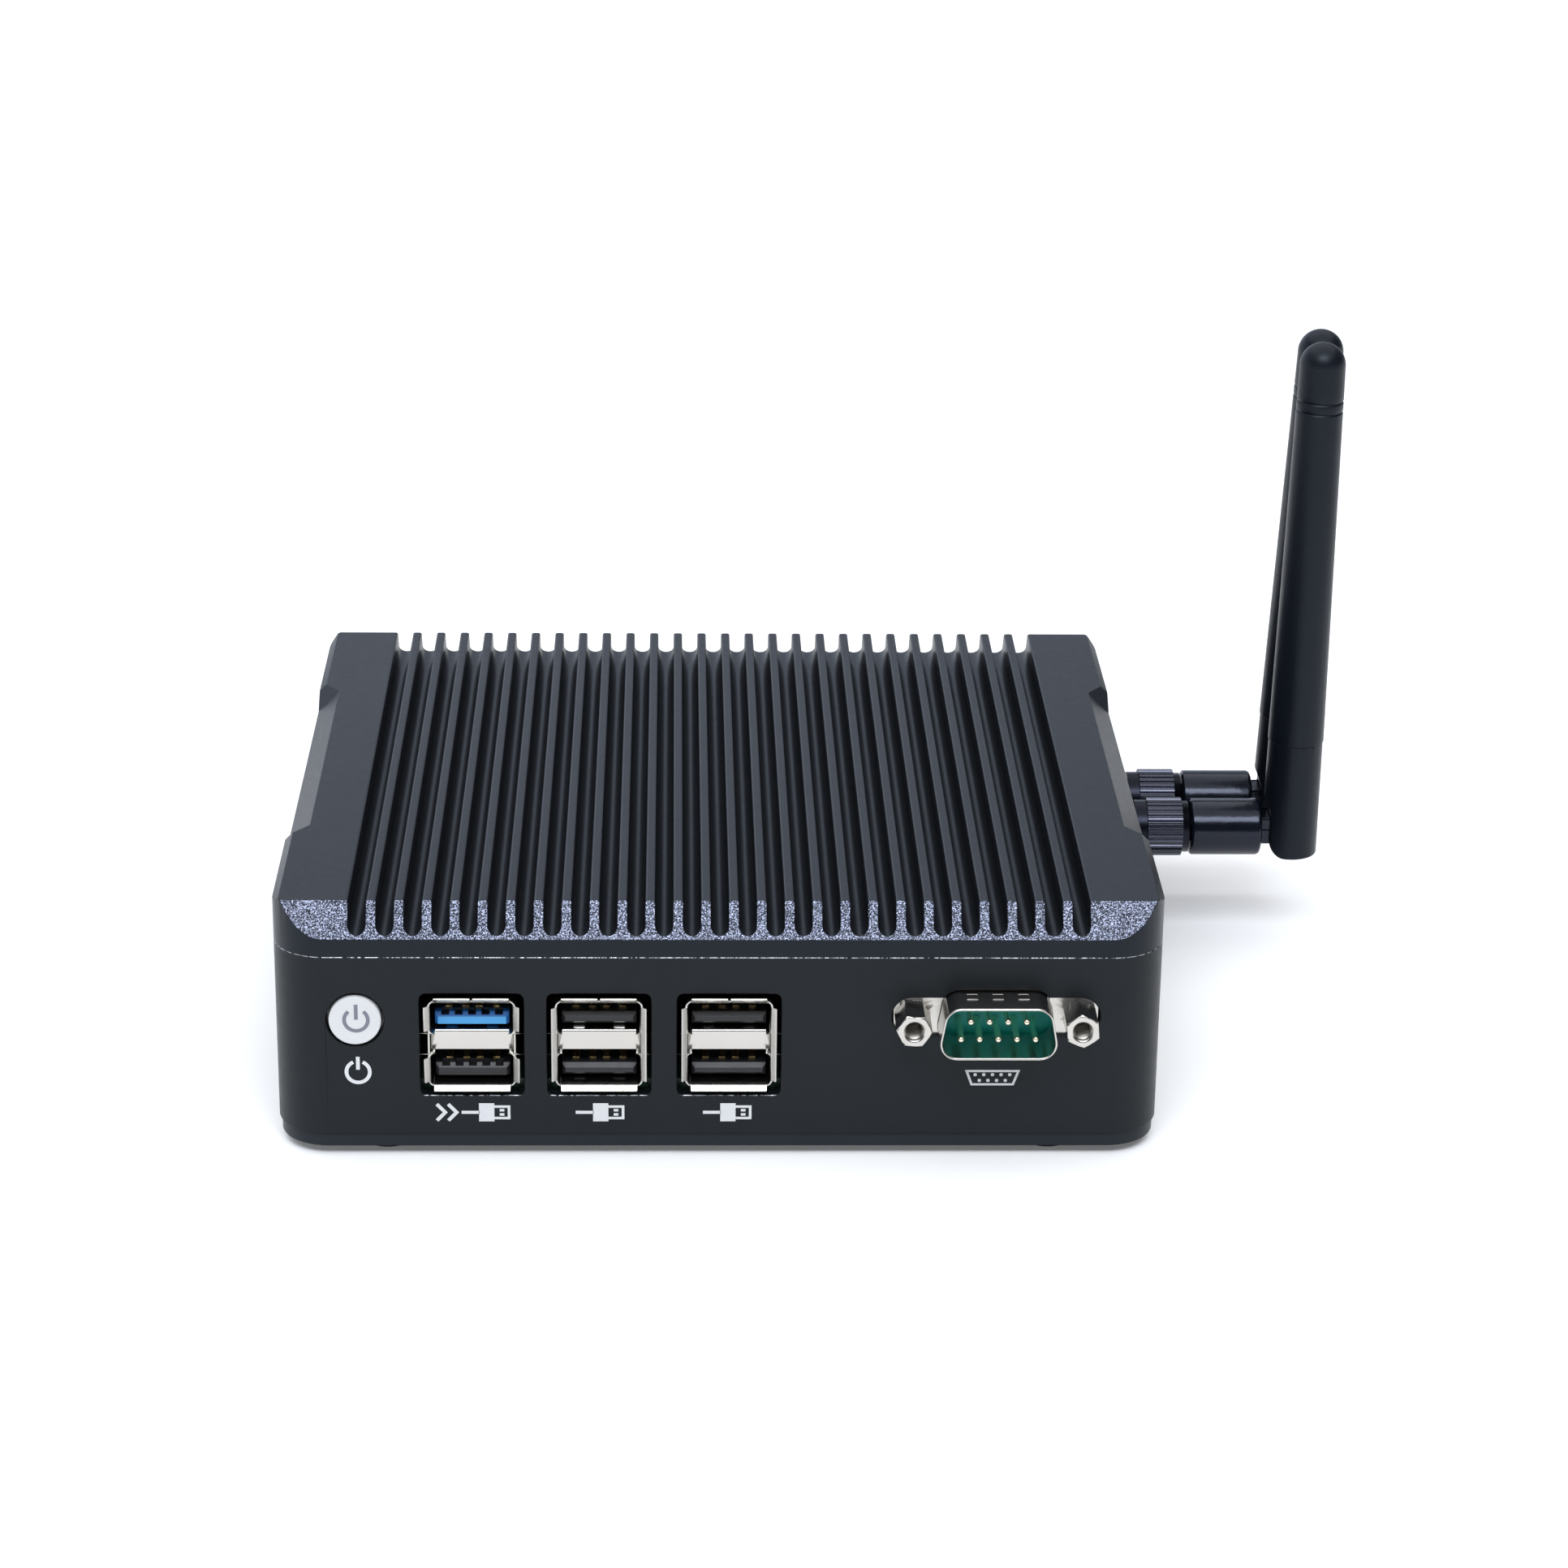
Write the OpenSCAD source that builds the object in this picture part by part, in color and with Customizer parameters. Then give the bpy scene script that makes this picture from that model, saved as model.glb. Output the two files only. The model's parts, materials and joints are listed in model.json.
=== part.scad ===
// Fanless mini PC: a finned aluminium lid on a box frame, with two hinged antennas.
// Millimetres, +Z up. The front panel faces -Y and the antennas are on the +X side.
// The origin is the centre of the case in the plane that its four feet stand on.

/* [Case] */
// Width of the case, without the antennas
case_w = 133.2; // [130:0.2:145]
// Depth of the case, without the ports
case_d = 126; // [122:0.5:140]
// Corner radius of the case in plan
corner_r = 8; // [6:0.5:9]
// Thickness of the frame's walls
wall = 2.6; // [2:0.1:3]
// Height of the box frame between the lid and the bottom plate
frame_h = 29; // [28.5:0.5:32]
// Height of the finned lid
lid_h = 7.8; // [7.4:0.1:9]
// Thickness of the bottom plate
plate_t = 2.2; // [2:0.1:3]
// How far the bottom plate is set in from the frame all round
plate_inset = 0.4; // [0.2:0.1:1]
// Distance of the corner screws from the centre, across and along
post_at = [59.9, 46.8]; // [44:0.1:60]
// Side of the square of bracket holes under the case
bracket_pitch = 75; // [50:25:75]

/* [Feet] */
// Diameter of a rubber foot
foot_d = 8.5; // [6:0.5:10]
// Height of a rubber foot
foot_h = 1.5; // [1:0.1:3]
// Distance of the feet from the centre, across and along
foot_at = [50, 56]; // [40:0.5:57]

/* [Fins] */
// Number of fins
fin_count = 26; // [20:2:26]
// Distance from one fin to the next
fin_pitch = 4.13; // [3.6:0.01:4.2]
// Thickness of a fin
fin_t = 1.5; // [1.2:0.1:2]
// Depth of the channels between the fins
channel_depth = 4.5; // [3:0.1:4.8]
// Run and drop of the bevel across the ends of the fins
end_bevel = [3.3, 5]; // [2:0.1:5.5]
// Bevel along the top edges of the sides
side_bevel = 1.2; // [0.6:0.1:2]
// Length of the scooped edge in the middle of each side
scoop_len = 60; // [40:1:70]
// Width and drop of the scooped edge
scoop_cut = [3.6, 3.7]; // [2:0.1:4]

/* [Front panel] */
// Distance of the three USB stacks from the centre
usb_x = [-36.9, -17.95, 1.45]; // [-50:0.05:10]
// Height of the middle of a USB stack
usb_z = 18.7; // [18.7:0.1:19.5]
// Distance of the serial port from the centre
com_x = 41.3; // [38:0.1:44]
// Height of the serial port
com_z = 23; // [22:0.1:24]
// Place of the power button, across and up
button_at = [-54.2, 22.5]; // [-55:0.1:24]
// Diameter of the power button
button_d = 7.8; // [6:0.1:8]
// Travel of the power button
button_travel = 0.8; // [0.3:0.1:0.8]

/* [Antennas] */
// Distance of the two antennas from the centre, along the side
antenna_y = [20, 33]; // [10:0.5:45]
// Height of the antenna sockets
antenna_z = 20.3; // [18:0.1:22]
// Distance from the case's side to the antenna's hinge pin
hinge_reach = 30.6; // [30:0.1:34]
// Height of the antenna's tip above its hinge pin
whip_h = 84; // [70:1:120]
// How far each upright antenna is turned towards the front, in degrees
antenna_lean = [0, 3.2]; // [0:0.1:3.4]
// How far each upright antenna tilts outwards, in degrees
antenna_tilt = [0.65, 1.3]; // [0:0.05:3]

/* [Hidden] */
$fn = 48;
eps = 0.01;
FRONT = 0;
REAR = 1;

// Heights of the case's layers
plate_z = foot_h;
frame_z = plate_z + plate_t;
lid_z = frame_z + frame_h;
case_h = lid_z + lid_h;
front_y = -case_d / 2;
back_y = case_d / 2;
side_x = case_w / 2;
inside = [case_w - 2 * wall, case_d - 2 * wall];

// Case fasteners: M3 screws from below, through the frame's posts into the lid
post_d = 7.4;
post_rib = [5.2, 5];
screw_d = 3;
screw_hole_d = 3.4;
screw_head = [5.5, 1.6];
screw_bite = 4.4;
screw_slot = [3, 0.7, 0.9];
head_gap = 0.3;
bracket_hole_d = 3.2;

// Fins
channel_w = fin_pitch - fin_t;
fin_round = 0.4;
// How much further each sloping end of the scooped edge reaches at the side face
scoop_flare = 4.8;

// The board inside, and what stands on it
board_t = 1.6;
board_z = 10;
board_top = board_z + board_t;
board = [110.8, 120.4];
standoff_at = [51, 38];
standoff_af = 5.5;
cpu_at = [8, -6];
cpu_package = [24, 24, 1];
cpu_die = [12, 9, 0.6];
pad_size = [16, 14, 0.48];
heat_block_w = 34;
memory_len = 67.6;
memory_z = board_top + 3;
memory_t = 1.3;
card_w = 22;
card_z = board_top + 2.6;
card_t = 0.8;
storage_at = [-11, 16];
storage_len = 38;
wifi_at = [29, -19];
wifi_len = 26;
coin_at = [41, 27];
coin = [20, 3.2];
inductor = [7, 7, 4];
capacitor = [6.3, 7.5];
cable_r = 0.6;
cable_sides = 8;
cable_rings = 16;

// USB stacks
usb_shell = [13.1, 14.1];
usb_wall = 0.29;
usb_corner = 1.1;
usb_mouth_corner = 0.8;
usb_bar_recess = 1.6;
usb_bar_gap = [0.14, 0.8];
usb_pitch = 8.4;
usb_mouth = [12.5, 5.12];
usb_front = front_y - 0.2;
usb_back = front_y + 17.5;
usb_lip = [1, 0.28];
usb_lip_angle = 45;
usb_hole = [15.5, 16.6];
usb_hole_z = usb_z - 0.25;
usb_tongue = [11.1, 1.85];
usb_tongue_chamfer = 0.65;
usb_tongue_under = 0.5;
usb_tongue_front = usb_front + 1.9;
usb_tongue_drop = 0.75;
usb_tongue_back = usb_back - 5.1;
usb_contact_x = [-3.5, -1, 1, 3.5];
usb_contact = [1, 0.25];
// Places of the notches in a nine-contact tongue, in steps across it
usb_notches = [-2 : 2];
usb_notch = [1.16, 1.7, 0.42];
usb_notch_set_back = 0.2;
usb_contact_set_back = 2;
usb_notch_pitch = 2;

// Serial port
com_d = [18.4, 8.4];
com_corner = 2.6;
com_wall = 0.4;
com_flange = [30.8, 12.4, 0.8];
com_flange_y = front_y + 0.8;
com_rim_y = front_y - 6.3;
com_nut_y = front_y - 5.3;
com_screw_pitch = 24.99;
com_nut_af = 4.76;
com_nut_bore = 2.84;
com_nut_depth = 5;
com_stud_d = 2.84;
com_stud_l = 5.5;
com_pin_pitch = 2.77;
com_row_gap = 2.84;
com_body_back = front_y + 13;
com_pin_d = 1;
com_window = [1.65, 1.7, 0.24];
com_window_x = [-3.85, 0, 3.8];
com_window_y = com_rim_y + 4.2;
com_plug_face = front_y + 2.9;
com_slot_h = 6.2;
com_nut_chamfer = [0.45, 0.26];

// Power button
button_hole_d = button_d + 0.8;
button_proud = 0.3;
button_flange = [button_hole_d + 1, 0.9];
stem_d = 3.4;
stem_end = front_y + 6.6;
plunger = [3, 2.2];
switch_body = [6, 3.4, 6];
switch_y = stem_end + button_travel + 0.2;
button_board_size = [8.8, 1.2];

// Rear ports, from right to left seen from the front
dc_at = [46, 17.4];
dc_body = [9, 13.3, 5.4];
dc_socket = [6.4, 10];
dc_pin_d = 2.1;
audio_x = [20, 32];
audio_z = 16.4;
audio_body = [7.2, 12];
audio_collar_d = 6;
audio_bore = [3.6, 13];
hdmi_at = [3, board_top + 2.7];
hdmi_size = [15, 5.4];
hdmi_wall = 0.4;
hdmi_depth = 11.5;
lan_x = [-36, -16.5];
lan_shell = [16, 13.8, 21];
lan_wall = 0.4;
lan_z = board_top + lan_shell[1] / 2;
lan_mouth = [11.9, 8.2];
lan_latch = [6.2, 3];
lan_depth = 12;
port_gap = 0.3;

// Antennas, along X from the case's side
socket_d = 6.35;
socket_hole_d = 6.5;
socket_end = 9;
washer = [9.6, 0.6];
panel_nut = [8, 2.4];
shoulder = [8, 2.2];
tail = [4, 9];
nut_from = 3.8;
knurl_from = 5.8;
knurl_to = 11.7;
nut_to = 12.85;
knurl_d = 9.8;
knurl_count = 30;
knurl_depth = 0.35;
collar_d = [8.9, 8.6];
plug_d = 4.8;
barrel_from = 13.1;
barrel_to = 25;
barrel_d = 9.5;
tongue_h = 4.6;
tongue_t = 4.4;
tongue_rib = [1.3, 0.1, 0.24];
tongue_rib_z = [0.1, 2.05];
slot_t = 4.7;
hinge_pin_d = 1.6;
hinge_bore_d = 1.72;
hinge_pin_l = 7;

// The whip's axis runs a little inside the hinge pin, and it tapers upwards
whip_offset = -0.45;
knuckle_bottom = -4.3;
knuckle_top = 15.8;
knuckle_flat = -4.1;
knuckle_flat_top = 3.6;
knuckle_ease = [1.6, 3.4];
knuckle_round = 2.6;
whip_r0 = 4.7;
whip_tip_r = 3.72;
whip_step = 0.12;
groove_w = 0.7;
groove_depth = 0.35;
groove_drop = [9.5, 11.2];
spigot = [4, 8];

// ---------- helpers ----------

// Points of an arc about c, from angle a0 to a1
function arc(c, r, a0, a1, n = 8) =
    [for (i = [0 : n]) c + r * [cos(a0 + (a1 - a0) * i / n), sin(a0 + (a1 - a0) * i / n)]];

// Outline of a D connector, wide side down, with sides that lean in by 10 degrees
function d_outline(w, h, r, lean = 10) =
    let (
        low_x = w / 2 - r * (1 + sin(lean)) / cos(lean),
        high_x = w / 2 - (r + sin(lean) * (h - r)) / cos(lean)
    )
    concat(
        arc([low_x, -h / 2 + r], r, -90, lean),
        arc([high_x, h / 2 - r], r, lean, 90),
        arc([-high_x, h / 2 - r], r, 90, 180 - lean),
        arc([-low_x, -h / 2 + r], r, 180 - lean, 270)
    );

// A point on the cubic Bezier curve with control points p
function bezier(p, t) =
    pow(1 - t, 3) * p[0] + 3 * pow(1 - t, 2) * t * p[1] + 3 * (1 - t) * t * t * p[2] + pow(t, 3) * p[3];

module rounded_rect(w, d, r) {
    square([w - 2 * r, d], center = true);
    square([w, d - 2 * r], center = true);
    for (x = [-1, 1], y = [-1, 1])
        translate([x * (w / 2 - r), y * (d / 2 - r)]) circle(r);
}

module at_corners(at) {
    for (x = [-1, 1], y = [-1, 1]) translate([x * at[0], y * at[1], 0]) children();
}

// Extrudes an outline drawn in X and Z from y0 to y1
module along_y(y0, y1) {
    translate([0, y1, 0]) rotate([90, 0, 0]) linear_extrude(y1 - y0) children();
}

// A box from corner a to corner b
module box(a, b) {
    translate(a) cube(b - a);
}

// A rod along Y
module rod_y(x, z, y0, y1, d) {
    translate([x, y0, z]) rotate([-90, 0, 0]) cylinder(d = d, h = y1 - y0);
}

// A rod along X from x0 to x1
module rod_x(x0, x1, d) {
    translate([x0, 0, 0]) rotate([0, 90, 0]) cylinder(d = d, h = x1 - x0);
}

// A pan-head screw, head down, whose head seats at z = 0
module pan_screw(length) {
    translate([0, 0, -screw_head[1]]) difference() {
        cylinder(d = screw_head[0], h = screw_head[1]);
        for (a = [0, 90]) rotate(a)
            translate([-screw_slot[0] / 2, -screw_slot[1] / 2, -eps]) cube(screw_slot);
    }
    translate([0, 0, -eps]) cylinder(d = screw_d, h = length + eps);
}

// ---------- case ----------

module channel_outline() {
    translate([0, channel_w / 2 - channel_depth]) circle(d = channel_w);
    translate([-channel_w / 2, channel_w / 2 - channel_depth]) square([channel_w, channel_depth]);
    difference() {
        translate([-channel_w / 2 - fin_round, -fin_round])
            square([channel_w + 2 * fin_round, 2 * fin_round]);
        for (s = [-1, 1]) translate([s * (channel_w / 2 + fin_round), -fin_round]) circle(fin_round);
    }
}

module lid_section() {
    difference() {
        polygon([
            [-side_x, lid_z], [side_x, lid_z],
            [side_x, case_h - side_bevel], [side_x - side_bevel, case_h],
            [-side_x + side_bevel, case_h], [-side_x, case_h - side_bevel]
        ]);
        for (i = [0 : fin_count]) translate([(i - fin_count / 2) * fin_pitch, case_h]) channel_outline();
    }
}

// The wedge that cuts the bevel across the front ends of the fins
module end_bevel_cut() {
    k = end_bevel[1] / end_bevel[0];
    rotate([90, 0, 90]) translate([0, 0, -side_x - 1]) linear_extrude(case_w + 2) polygon([
        [front_y - 1, case_h - end_bevel[1] - k],
        [front_y + end_bevel[0] + 1, case_h + k],
        [front_y - 1, case_h + k]
    ]);
}

// The wedge that scoops the top edge of the +X side, with ends that slope out
module scoop_cut_solid() {
    over = 1;
    rise = over * scoop_cut[1] / scoop_cut[0];
    half = scoop_len / 2;
    flare = scoop_flare * (1 + 2 * over / scoop_cut[0]);
    inner = [side_x - scoop_cut[0] - over, case_h + rise];
    outer = [side_x + over, case_h - scoop_cut[1] - rise];
    polyhedron(
        points = [
            [inner[0], -half, inner[1]], [outer[0], -half, outer[1]],
            [outer[0], -half - flare, inner[1]],
            [inner[0], half, inner[1]], [outer[0], half, outer[1]],
            [outer[0], half + flare, inner[1]]
        ],
        faces = [[2, 1, 0], [3, 4, 5], [1, 4, 3, 0], [2, 5, 4, 1], [0, 3, 5, 2]]
    );
}

module top_heatsink() color([0.30, 0.32, 0.36]) difference() {
    intersection() {
        along_y(front_y, back_y) lid_section();
        translate([0, 0, lid_z - 1]) linear_extrude(lid_h + 2) rounded_rect(case_w, case_d, corner_r);
    }
    for (m = [0, 1]) {
        mirror([0, m, 0]) end_bevel_cut();
        mirror([m, 0, 0]) scoop_cut_solid();
    }
    at_corners(post_at) translate([0, 0, lid_z - 1]) cylinder(d = screw_d, h = screw_bite + 1);
}

module com_panel_hole() {
    translate([com_x, com_z]) {
        polygon(d_outline(com_d[0] + port_gap, com_d[1] + port_gap, com_corner + port_gap / 2));
        square([com_screw_pitch, com_slot_h], center = true);
        for (s = [-1, 1]) translate([s * com_screw_pitch / 2, 0]) circle(d = com_slot_h);
    }
}

module front_holes() {
    along_y(front_y - 1, front_y + wall + 1) {
        translate(button_at) circle(d = button_hole_d);
        for (x = usb_x) translate([x, usb_hole_z]) rounded_rect(usb_hole[0], usb_hole[1], 1);
        com_panel_hole();
    }
    along_y(com_flange_y, front_y + wall + 1) translate([com_x, com_z])
        square([com_flange[0] + 0.6, com_flange[1] + 0.6], center = true);
}

module rear_holes() {
    along_y(back_y - wall - 1, back_y + 1) {
        translate([dc_at[0], (board_top + dc_at[1] + dc_body[2]) / 2])
            rounded_rect(dc_body[0] + 2 * port_gap, dc_at[1] + dc_body[2] - board_top + 2 * port_gap, 0.3);
        for (x = audio_x) translate([x, audio_z]) circle(d = audio_collar_d + port_gap);
        translate(hdmi_at) rounded_rect(hdmi_size[0] + 2 * port_gap, hdmi_size[1] + 2 * port_gap, 0.3);
        for (x = lan_x) translate([x, lan_z])
            rounded_rect(lan_shell[0] + 2 * port_gap, lan_shell[1] + 2 * port_gap, 0.3);
    }
}

module mid_frame() color([0.15, 0.16, 0.18]) difference() {
    union() {
        difference() {
            translate([0, 0, frame_z]) linear_extrude(frame_h) rounded_rect(case_w, case_d, corner_r);
            translate([0, 0, frame_z - 1]) linear_extrude(frame_h + 2)
                rounded_rect(inside[0], inside[1], corner_r - wall);
        }
        for (x = [-1, 1], y = [-1, 1]) translate([x * post_at[0], y * post_at[1], frame_z]) {
            cylinder(d = post_d, h = frame_h);
            translate([x * post_rib[0] / 2, 0, frame_h / 2])
                cube([post_rib[0], post_rib[1], frame_h], center = true);
        }
    }
    at_corners(post_at) translate([0, 0, frame_z - 1]) cylinder(d = screw_hole_d, h = frame_h + 2);
    front_holes();
    rear_holes();
    for (y = antenna_y) translate([side_x, y, antenna_z]) rod_x(-wall - 1, 1, socket_hole_d);
}

module bottom_plate() color([0.13, 0.14, 0.16]) difference() {
    translate([0, 0, plate_z]) linear_extrude(plate_t)
        rounded_rect(case_w - 2 * plate_inset, case_d - 2 * plate_inset, corner_r - plate_inset);
    at_corners(post_at) {
        translate([0, 0, plate_z - 1]) cylinder(d = screw_head[0] + head_gap, h = screw_head[1] + 1);
        translate([0, 0, plate_z - 1]) cylinder(d = screw_hole_d, h = plate_t + 2);
    }
    at_corners([bracket_pitch / 2, bracket_pitch / 2])
        translate([0, 0, plate_z - 1]) cylinder(d = bracket_hole_d, h = plate_t + 2);
}

module rubber_feet() color([0.08, 0.08, 0.09]) at_corners(foot_at) rotate_extrude()
    polygon([[0, 0], [foot_d / 2 - 0.3, 0], [foot_d / 2, 0.3], [foot_d / 2, foot_h], [0, foot_h]]);

module case_screws() color([0.2, 0.2, 0.22]) at_corners(post_at)
    translate([0, 0, plate_z + screw_head[1]])
        pan_screw(lid_z + screw_bite - plate_z - screw_head[1] - head_gap);

// ---------- power button ----------

// A white cap, a flange that stops it behind the panel, and a stem to the switch
module power_button() color([0.93, 0.93, 0.95]) {
    behind = front_y + wall;
    rod_y(button_at[0], button_at[1], front_y - button_proud, behind + 0.1, button_d);
    rod_y(button_at[0], button_at[1], behind + 0.05, behind + 0.05 + button_flange[1], button_flange[0]);
    rod_y(button_at[0], button_at[1], behind + button_flange[1], stem_end, stem_d);
}

module switch_plunger() color([0.1, 0.1, 0.1])
    rod_y(button_at[0], button_at[1], stem_end, stem_end + plunger[1], plunger[0]);

module power_switch() color([0.75, 0.75, 0.76]) difference() {
    translate([button_at[0] - switch_body[0] / 2, switch_y, button_at[1] - switch_body[2] / 2])
        cube(switch_body);
    rod_y(button_at[0], button_at[1], stem_end, switch_y + plunger[1], plunger[0] + 0.12);
}

// A small upright board that carries the switch behind the panel
module button_board() color([0.05, 0.2, 0.12]) {
    half = button_board_size[0] / 2;
    y = switch_y + switch_body[1];
    box([button_at[0] - half, y, board_top],
        [button_at[0] + half, y + button_board_size[1], button_at[1] + half]);
}

// ---------- USB stacks ----------

// A lip bent outwards from the front edge of the shell's top, which lies at z = 0
module usb_lip_plate(w) {
    translate([-w / 2, 0, -usb_lip[1]]) rotate([-usb_lip_angle, 0, 0])
        translate([0, -usb_lip[0], 0]) cube([w, usb_lip[0] + 0.2, usb_lip[1]]);
}

// A two-port shell: side_lips lists the height of each side lip, and its length
module usb_shell_at(x, side_lips) color([0.80, 0.78, 0.72]) translate([x, usb_front, usb_z]) {
    depth = usb_back - usb_front;
    difference() {
        along_y(0, depth) rounded_rect(usb_shell[0], usb_shell[1], usb_corner);
        for (s = [-1, 1]) translate([0, 0, s * usb_pitch / 2])
            along_y(-1, depth - usb_wall) rounded_rect(usb_mouth[0], usb_mouth[1], usb_mouth_corner);
        bar = usb_pitch - usb_mouth[1];
        translate([-usb_mouth[0] / 2, -1, -bar / 2]) cube([usb_mouth[0], usb_bar_recess + 1, bar]);
        translate([-usb_mouth[0] / 2, usb_bar_recess + usb_wall, usb_wall - bar / 2])
            cube([usb_mouth[0], depth - usb_bar_recess - 2 * usb_wall, bar - 2 * usb_wall]);
        for (s = [-1, 1]) translate([s * (usb_mouth[0] - usb_bar_gap[0]) / 2, usb_bar_recess, 0])
            cube([usb_bar_gap[0], 2 * usb_bar_gap[1], bar + 0.2], center = true);
    }
    for (s = [-1, 1]) {
        translate([s * 2.9, 0, usb_shell[1] / 2]) usb_lip_plate(5.5);
        for (lip = side_lips) translate([s * usb_shell[0] / 2, 0, lip[0]]) rotate([0, s * 90, 0])
            usb_lip_plate(lip[1]);
    }
    translate([0, 0, -usb_shell[1] / 2]) rotate([0, 180, 0]) usb_lip_plate(11.4);
}

module usb_left_shell() usb_shell_at(usb_x[0], [[4.2, 4], [-4.2, 4]]);
module usb_middle_shell() usb_shell_at(usb_x[1], [[0, 12]]);
module usb_right_shell() usb_shell_at(usb_x[2], [[0, 12]]);

// A contact tongue in the port whose middle is at height z: notches lists the places of the
// notches in its top, and under is the chamfer below its front
module usb_tongue_at(x, z, notches, under, back) {
    half = usb_tongue[0] / 2;
    low = z - usb_mouth[1] / 2 + usb_tongue_drop;
    top = low + usb_tongue[1];
    cut = usb_tongue_chamfer;
    difference() {
        translate([x - half, 0, 0]) rotate([90, 0, 90]) linear_extrude(usb_tongue[0]) polygon(concat(
            [[usb_tongue_front, low + under]], under > 0 ? [[usb_tongue_front + under, low]] : [],
            [[back, low], [back, top], [usb_tongue_front + cut, top], [usb_tongue_front, top - cut]]
        ));
        for (s = [-1, 1]) translate([x + s * half, usb_tongue_front, top]) rotate(45)
            cube([cut, cut, 2 * usb_tongue[1] + 1], center = true);
        for (i = notches)
            translate([x + usb_notch_pitch * i - usb_notch[0] / 2,
                       usb_tongue_front + usb_notch_set_back, top - usb_notch[2]])
                cube([usb_notch[0], usb_notch[1], 1]);
    }
}

// The plastic at the back of both ports, with the black tongues that belong to it
module usb_body_at(x, tongues) color([0.07, 0.07, 0.08]) {
    for (s = [-1, 1]) translate([x, 0, usb_z + s * usb_pitch / 2]) along_y(usb_tongue_back, usb_back - 0.6)
        rounded_rect(usb_mouth[0] - 0.2, usb_mouth[1] - 0.2, usb_mouth_corner);
    for (t = tongues)
        usb_tongue_at(x, usb_z + t[0] * usb_pitch / 2, t[1], t[2], usb_tongue_back + 0.1);
}

module usb_left_body() usb_body_at(usb_x[0], [[-1, usb_notches, 0]]);
module usb_middle_body() usb_body_at(usb_x[1], [for (s = [-1, 1]) [s, [], usb_tongue_under]]);
module usb_right_body() usb_body_at(usb_x[2], [for (s = [-1, 1]) [s, [], usb_tongue_under]]);

module usb_left_blue_tongue() color([0.16, 0.47, 0.85])
    usb_tongue_at(usb_x[0], usb_z + usb_pitch / 2, usb_notches, 0, usb_tongue_back);

module usb_contacts() color([0.85, 0.65, 0.25])
    for (x = usb_x, s = [-1, 1], dx = usb_contact_x) {
        top = usb_z + s * usb_pitch / 2 - usb_mouth[1] / 2 + usb_tongue_drop + usb_tongue[1];
        box([x + dx - usb_contact[0] / 2, usb_tongue_front + usb_contact_set_back, top],
            [x + dx + usb_contact[0] / 2, usb_tongue_back - 0.1, top + usb_contact[1]]);
    }

// ---------- serial port ----------

module com_shell() color([0.78, 0.76, 0.70]) translate([com_x, 0, com_z]) difference() {
    union() {
        along_y(com_rim_y, com_flange_y + eps) polygon(d_outline(com_d[0], com_d[1], com_corner));
        along_y(com_flange_y, com_flange_y + com_flange[2])
            square([com_flange[0], com_flange[1]], center = true);
        for (dx = com_window_x, s = [-1, 1]) translate([dx, com_window_y, s * com_d[1] / 2])
            cube(com_window, center = true);
    }
    along_y(com_rim_y - 1, com_flange_y + com_flange[2] + 1)
        polygon(d_outline(com_d[0] - 2 * com_wall, com_d[1] - 2 * com_wall, com_corner - com_wall));
    for (s = [-1, 1]) rod_y(s * com_screw_pitch / 2, 0, com_flange_y - 1, com_flange_y + 2, 3.1);
}

function com_pin_places() = concat(
    [for (i = [-2 : 2]) [com_x + i * com_pin_pitch, com_z - com_row_gap / 2]],
    [for (i = [-1.5 : 1.5]) [com_x + i * com_pin_pitch, com_z + com_row_gap / 2]]
);

// The moulding behind the flange: the plug face is the floor of a D-shaped recess in it
module com_body() color([0.05, 0.42, 0.36]) difference() {
    flange_back = com_flange_y + com_flange[2];
    half = com_flange[0] / 2;
    top = com_z + com_flange[1] / 2;
    union() {
        box([com_x - half, flange_back, com_z - com_flange[1] / 2], [com_x + half, com_body_back, top]);
        box([com_x - half, front_y + wall + 0.1, board_top], [com_x + half, com_body_back, top]);
    }
    translate([com_x, 0, com_z]) along_y(front_y, com_plug_face)
        polygon(d_outline(com_d[0] - 2 * com_wall, com_d[1] - 2 * com_wall, com_corner - com_wall));
    for (p = com_pin_places()) rod_y(p[0], p[1], front_y - 1, com_body_back + 1, com_pin_d + 0.02);
    for (s = [-1, 1]) rod_y(com_x + s * com_screw_pitch / 2, com_z, com_flange_y, com_flange_y + 6, 3.3);
}

module com_pins() color([0.88, 0.72, 0.35]) for (p = com_pin_places()) {
    rod_y(p[0], p[1], com_rim_y + 1.6, com_body_back - 1, com_pin_d);
    translate([p[0], com_rim_y + 1.6, p[1]]) sphere(d = com_pin_d);
}

// Hex standoffs with chamfered corners, threaded for the plug's screws
module com_jackscrews() color([0.80, 0.78, 0.72]) for (s = [-1, 1])
    translate([com_x + s * com_screw_pitch / 2, com_nut_y, com_z])
        rotate([0, s > 0 ? 25 : 4, 0]) rotate([-90, 0, 0]) {
            hex_h = com_flange_y - com_nut_y;
            corner_r = com_nut_af / 2 / cos(30);
            difference() {
                intersection() {
                    cylinder(r = corner_r, h = hex_h, $fn = 6);
                    rotate_extrude() polygon([
                        [0, 0], [corner_r - com_nut_chamfer[0], 0],
                        [corner_r + eps, com_nut_chamfer[1]], [corner_r + eps, hex_h], [0, hex_h]
                    ]);
                }
                translate([0, 0, -1]) cylinder(d = com_nut_bore, h = com_nut_depth + 1);
            }
            translate([0, 0, hex_h - eps]) cylinder(d = com_stud_d, h = com_stud_l);
        }

// ---------- rear ports ----------

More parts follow.
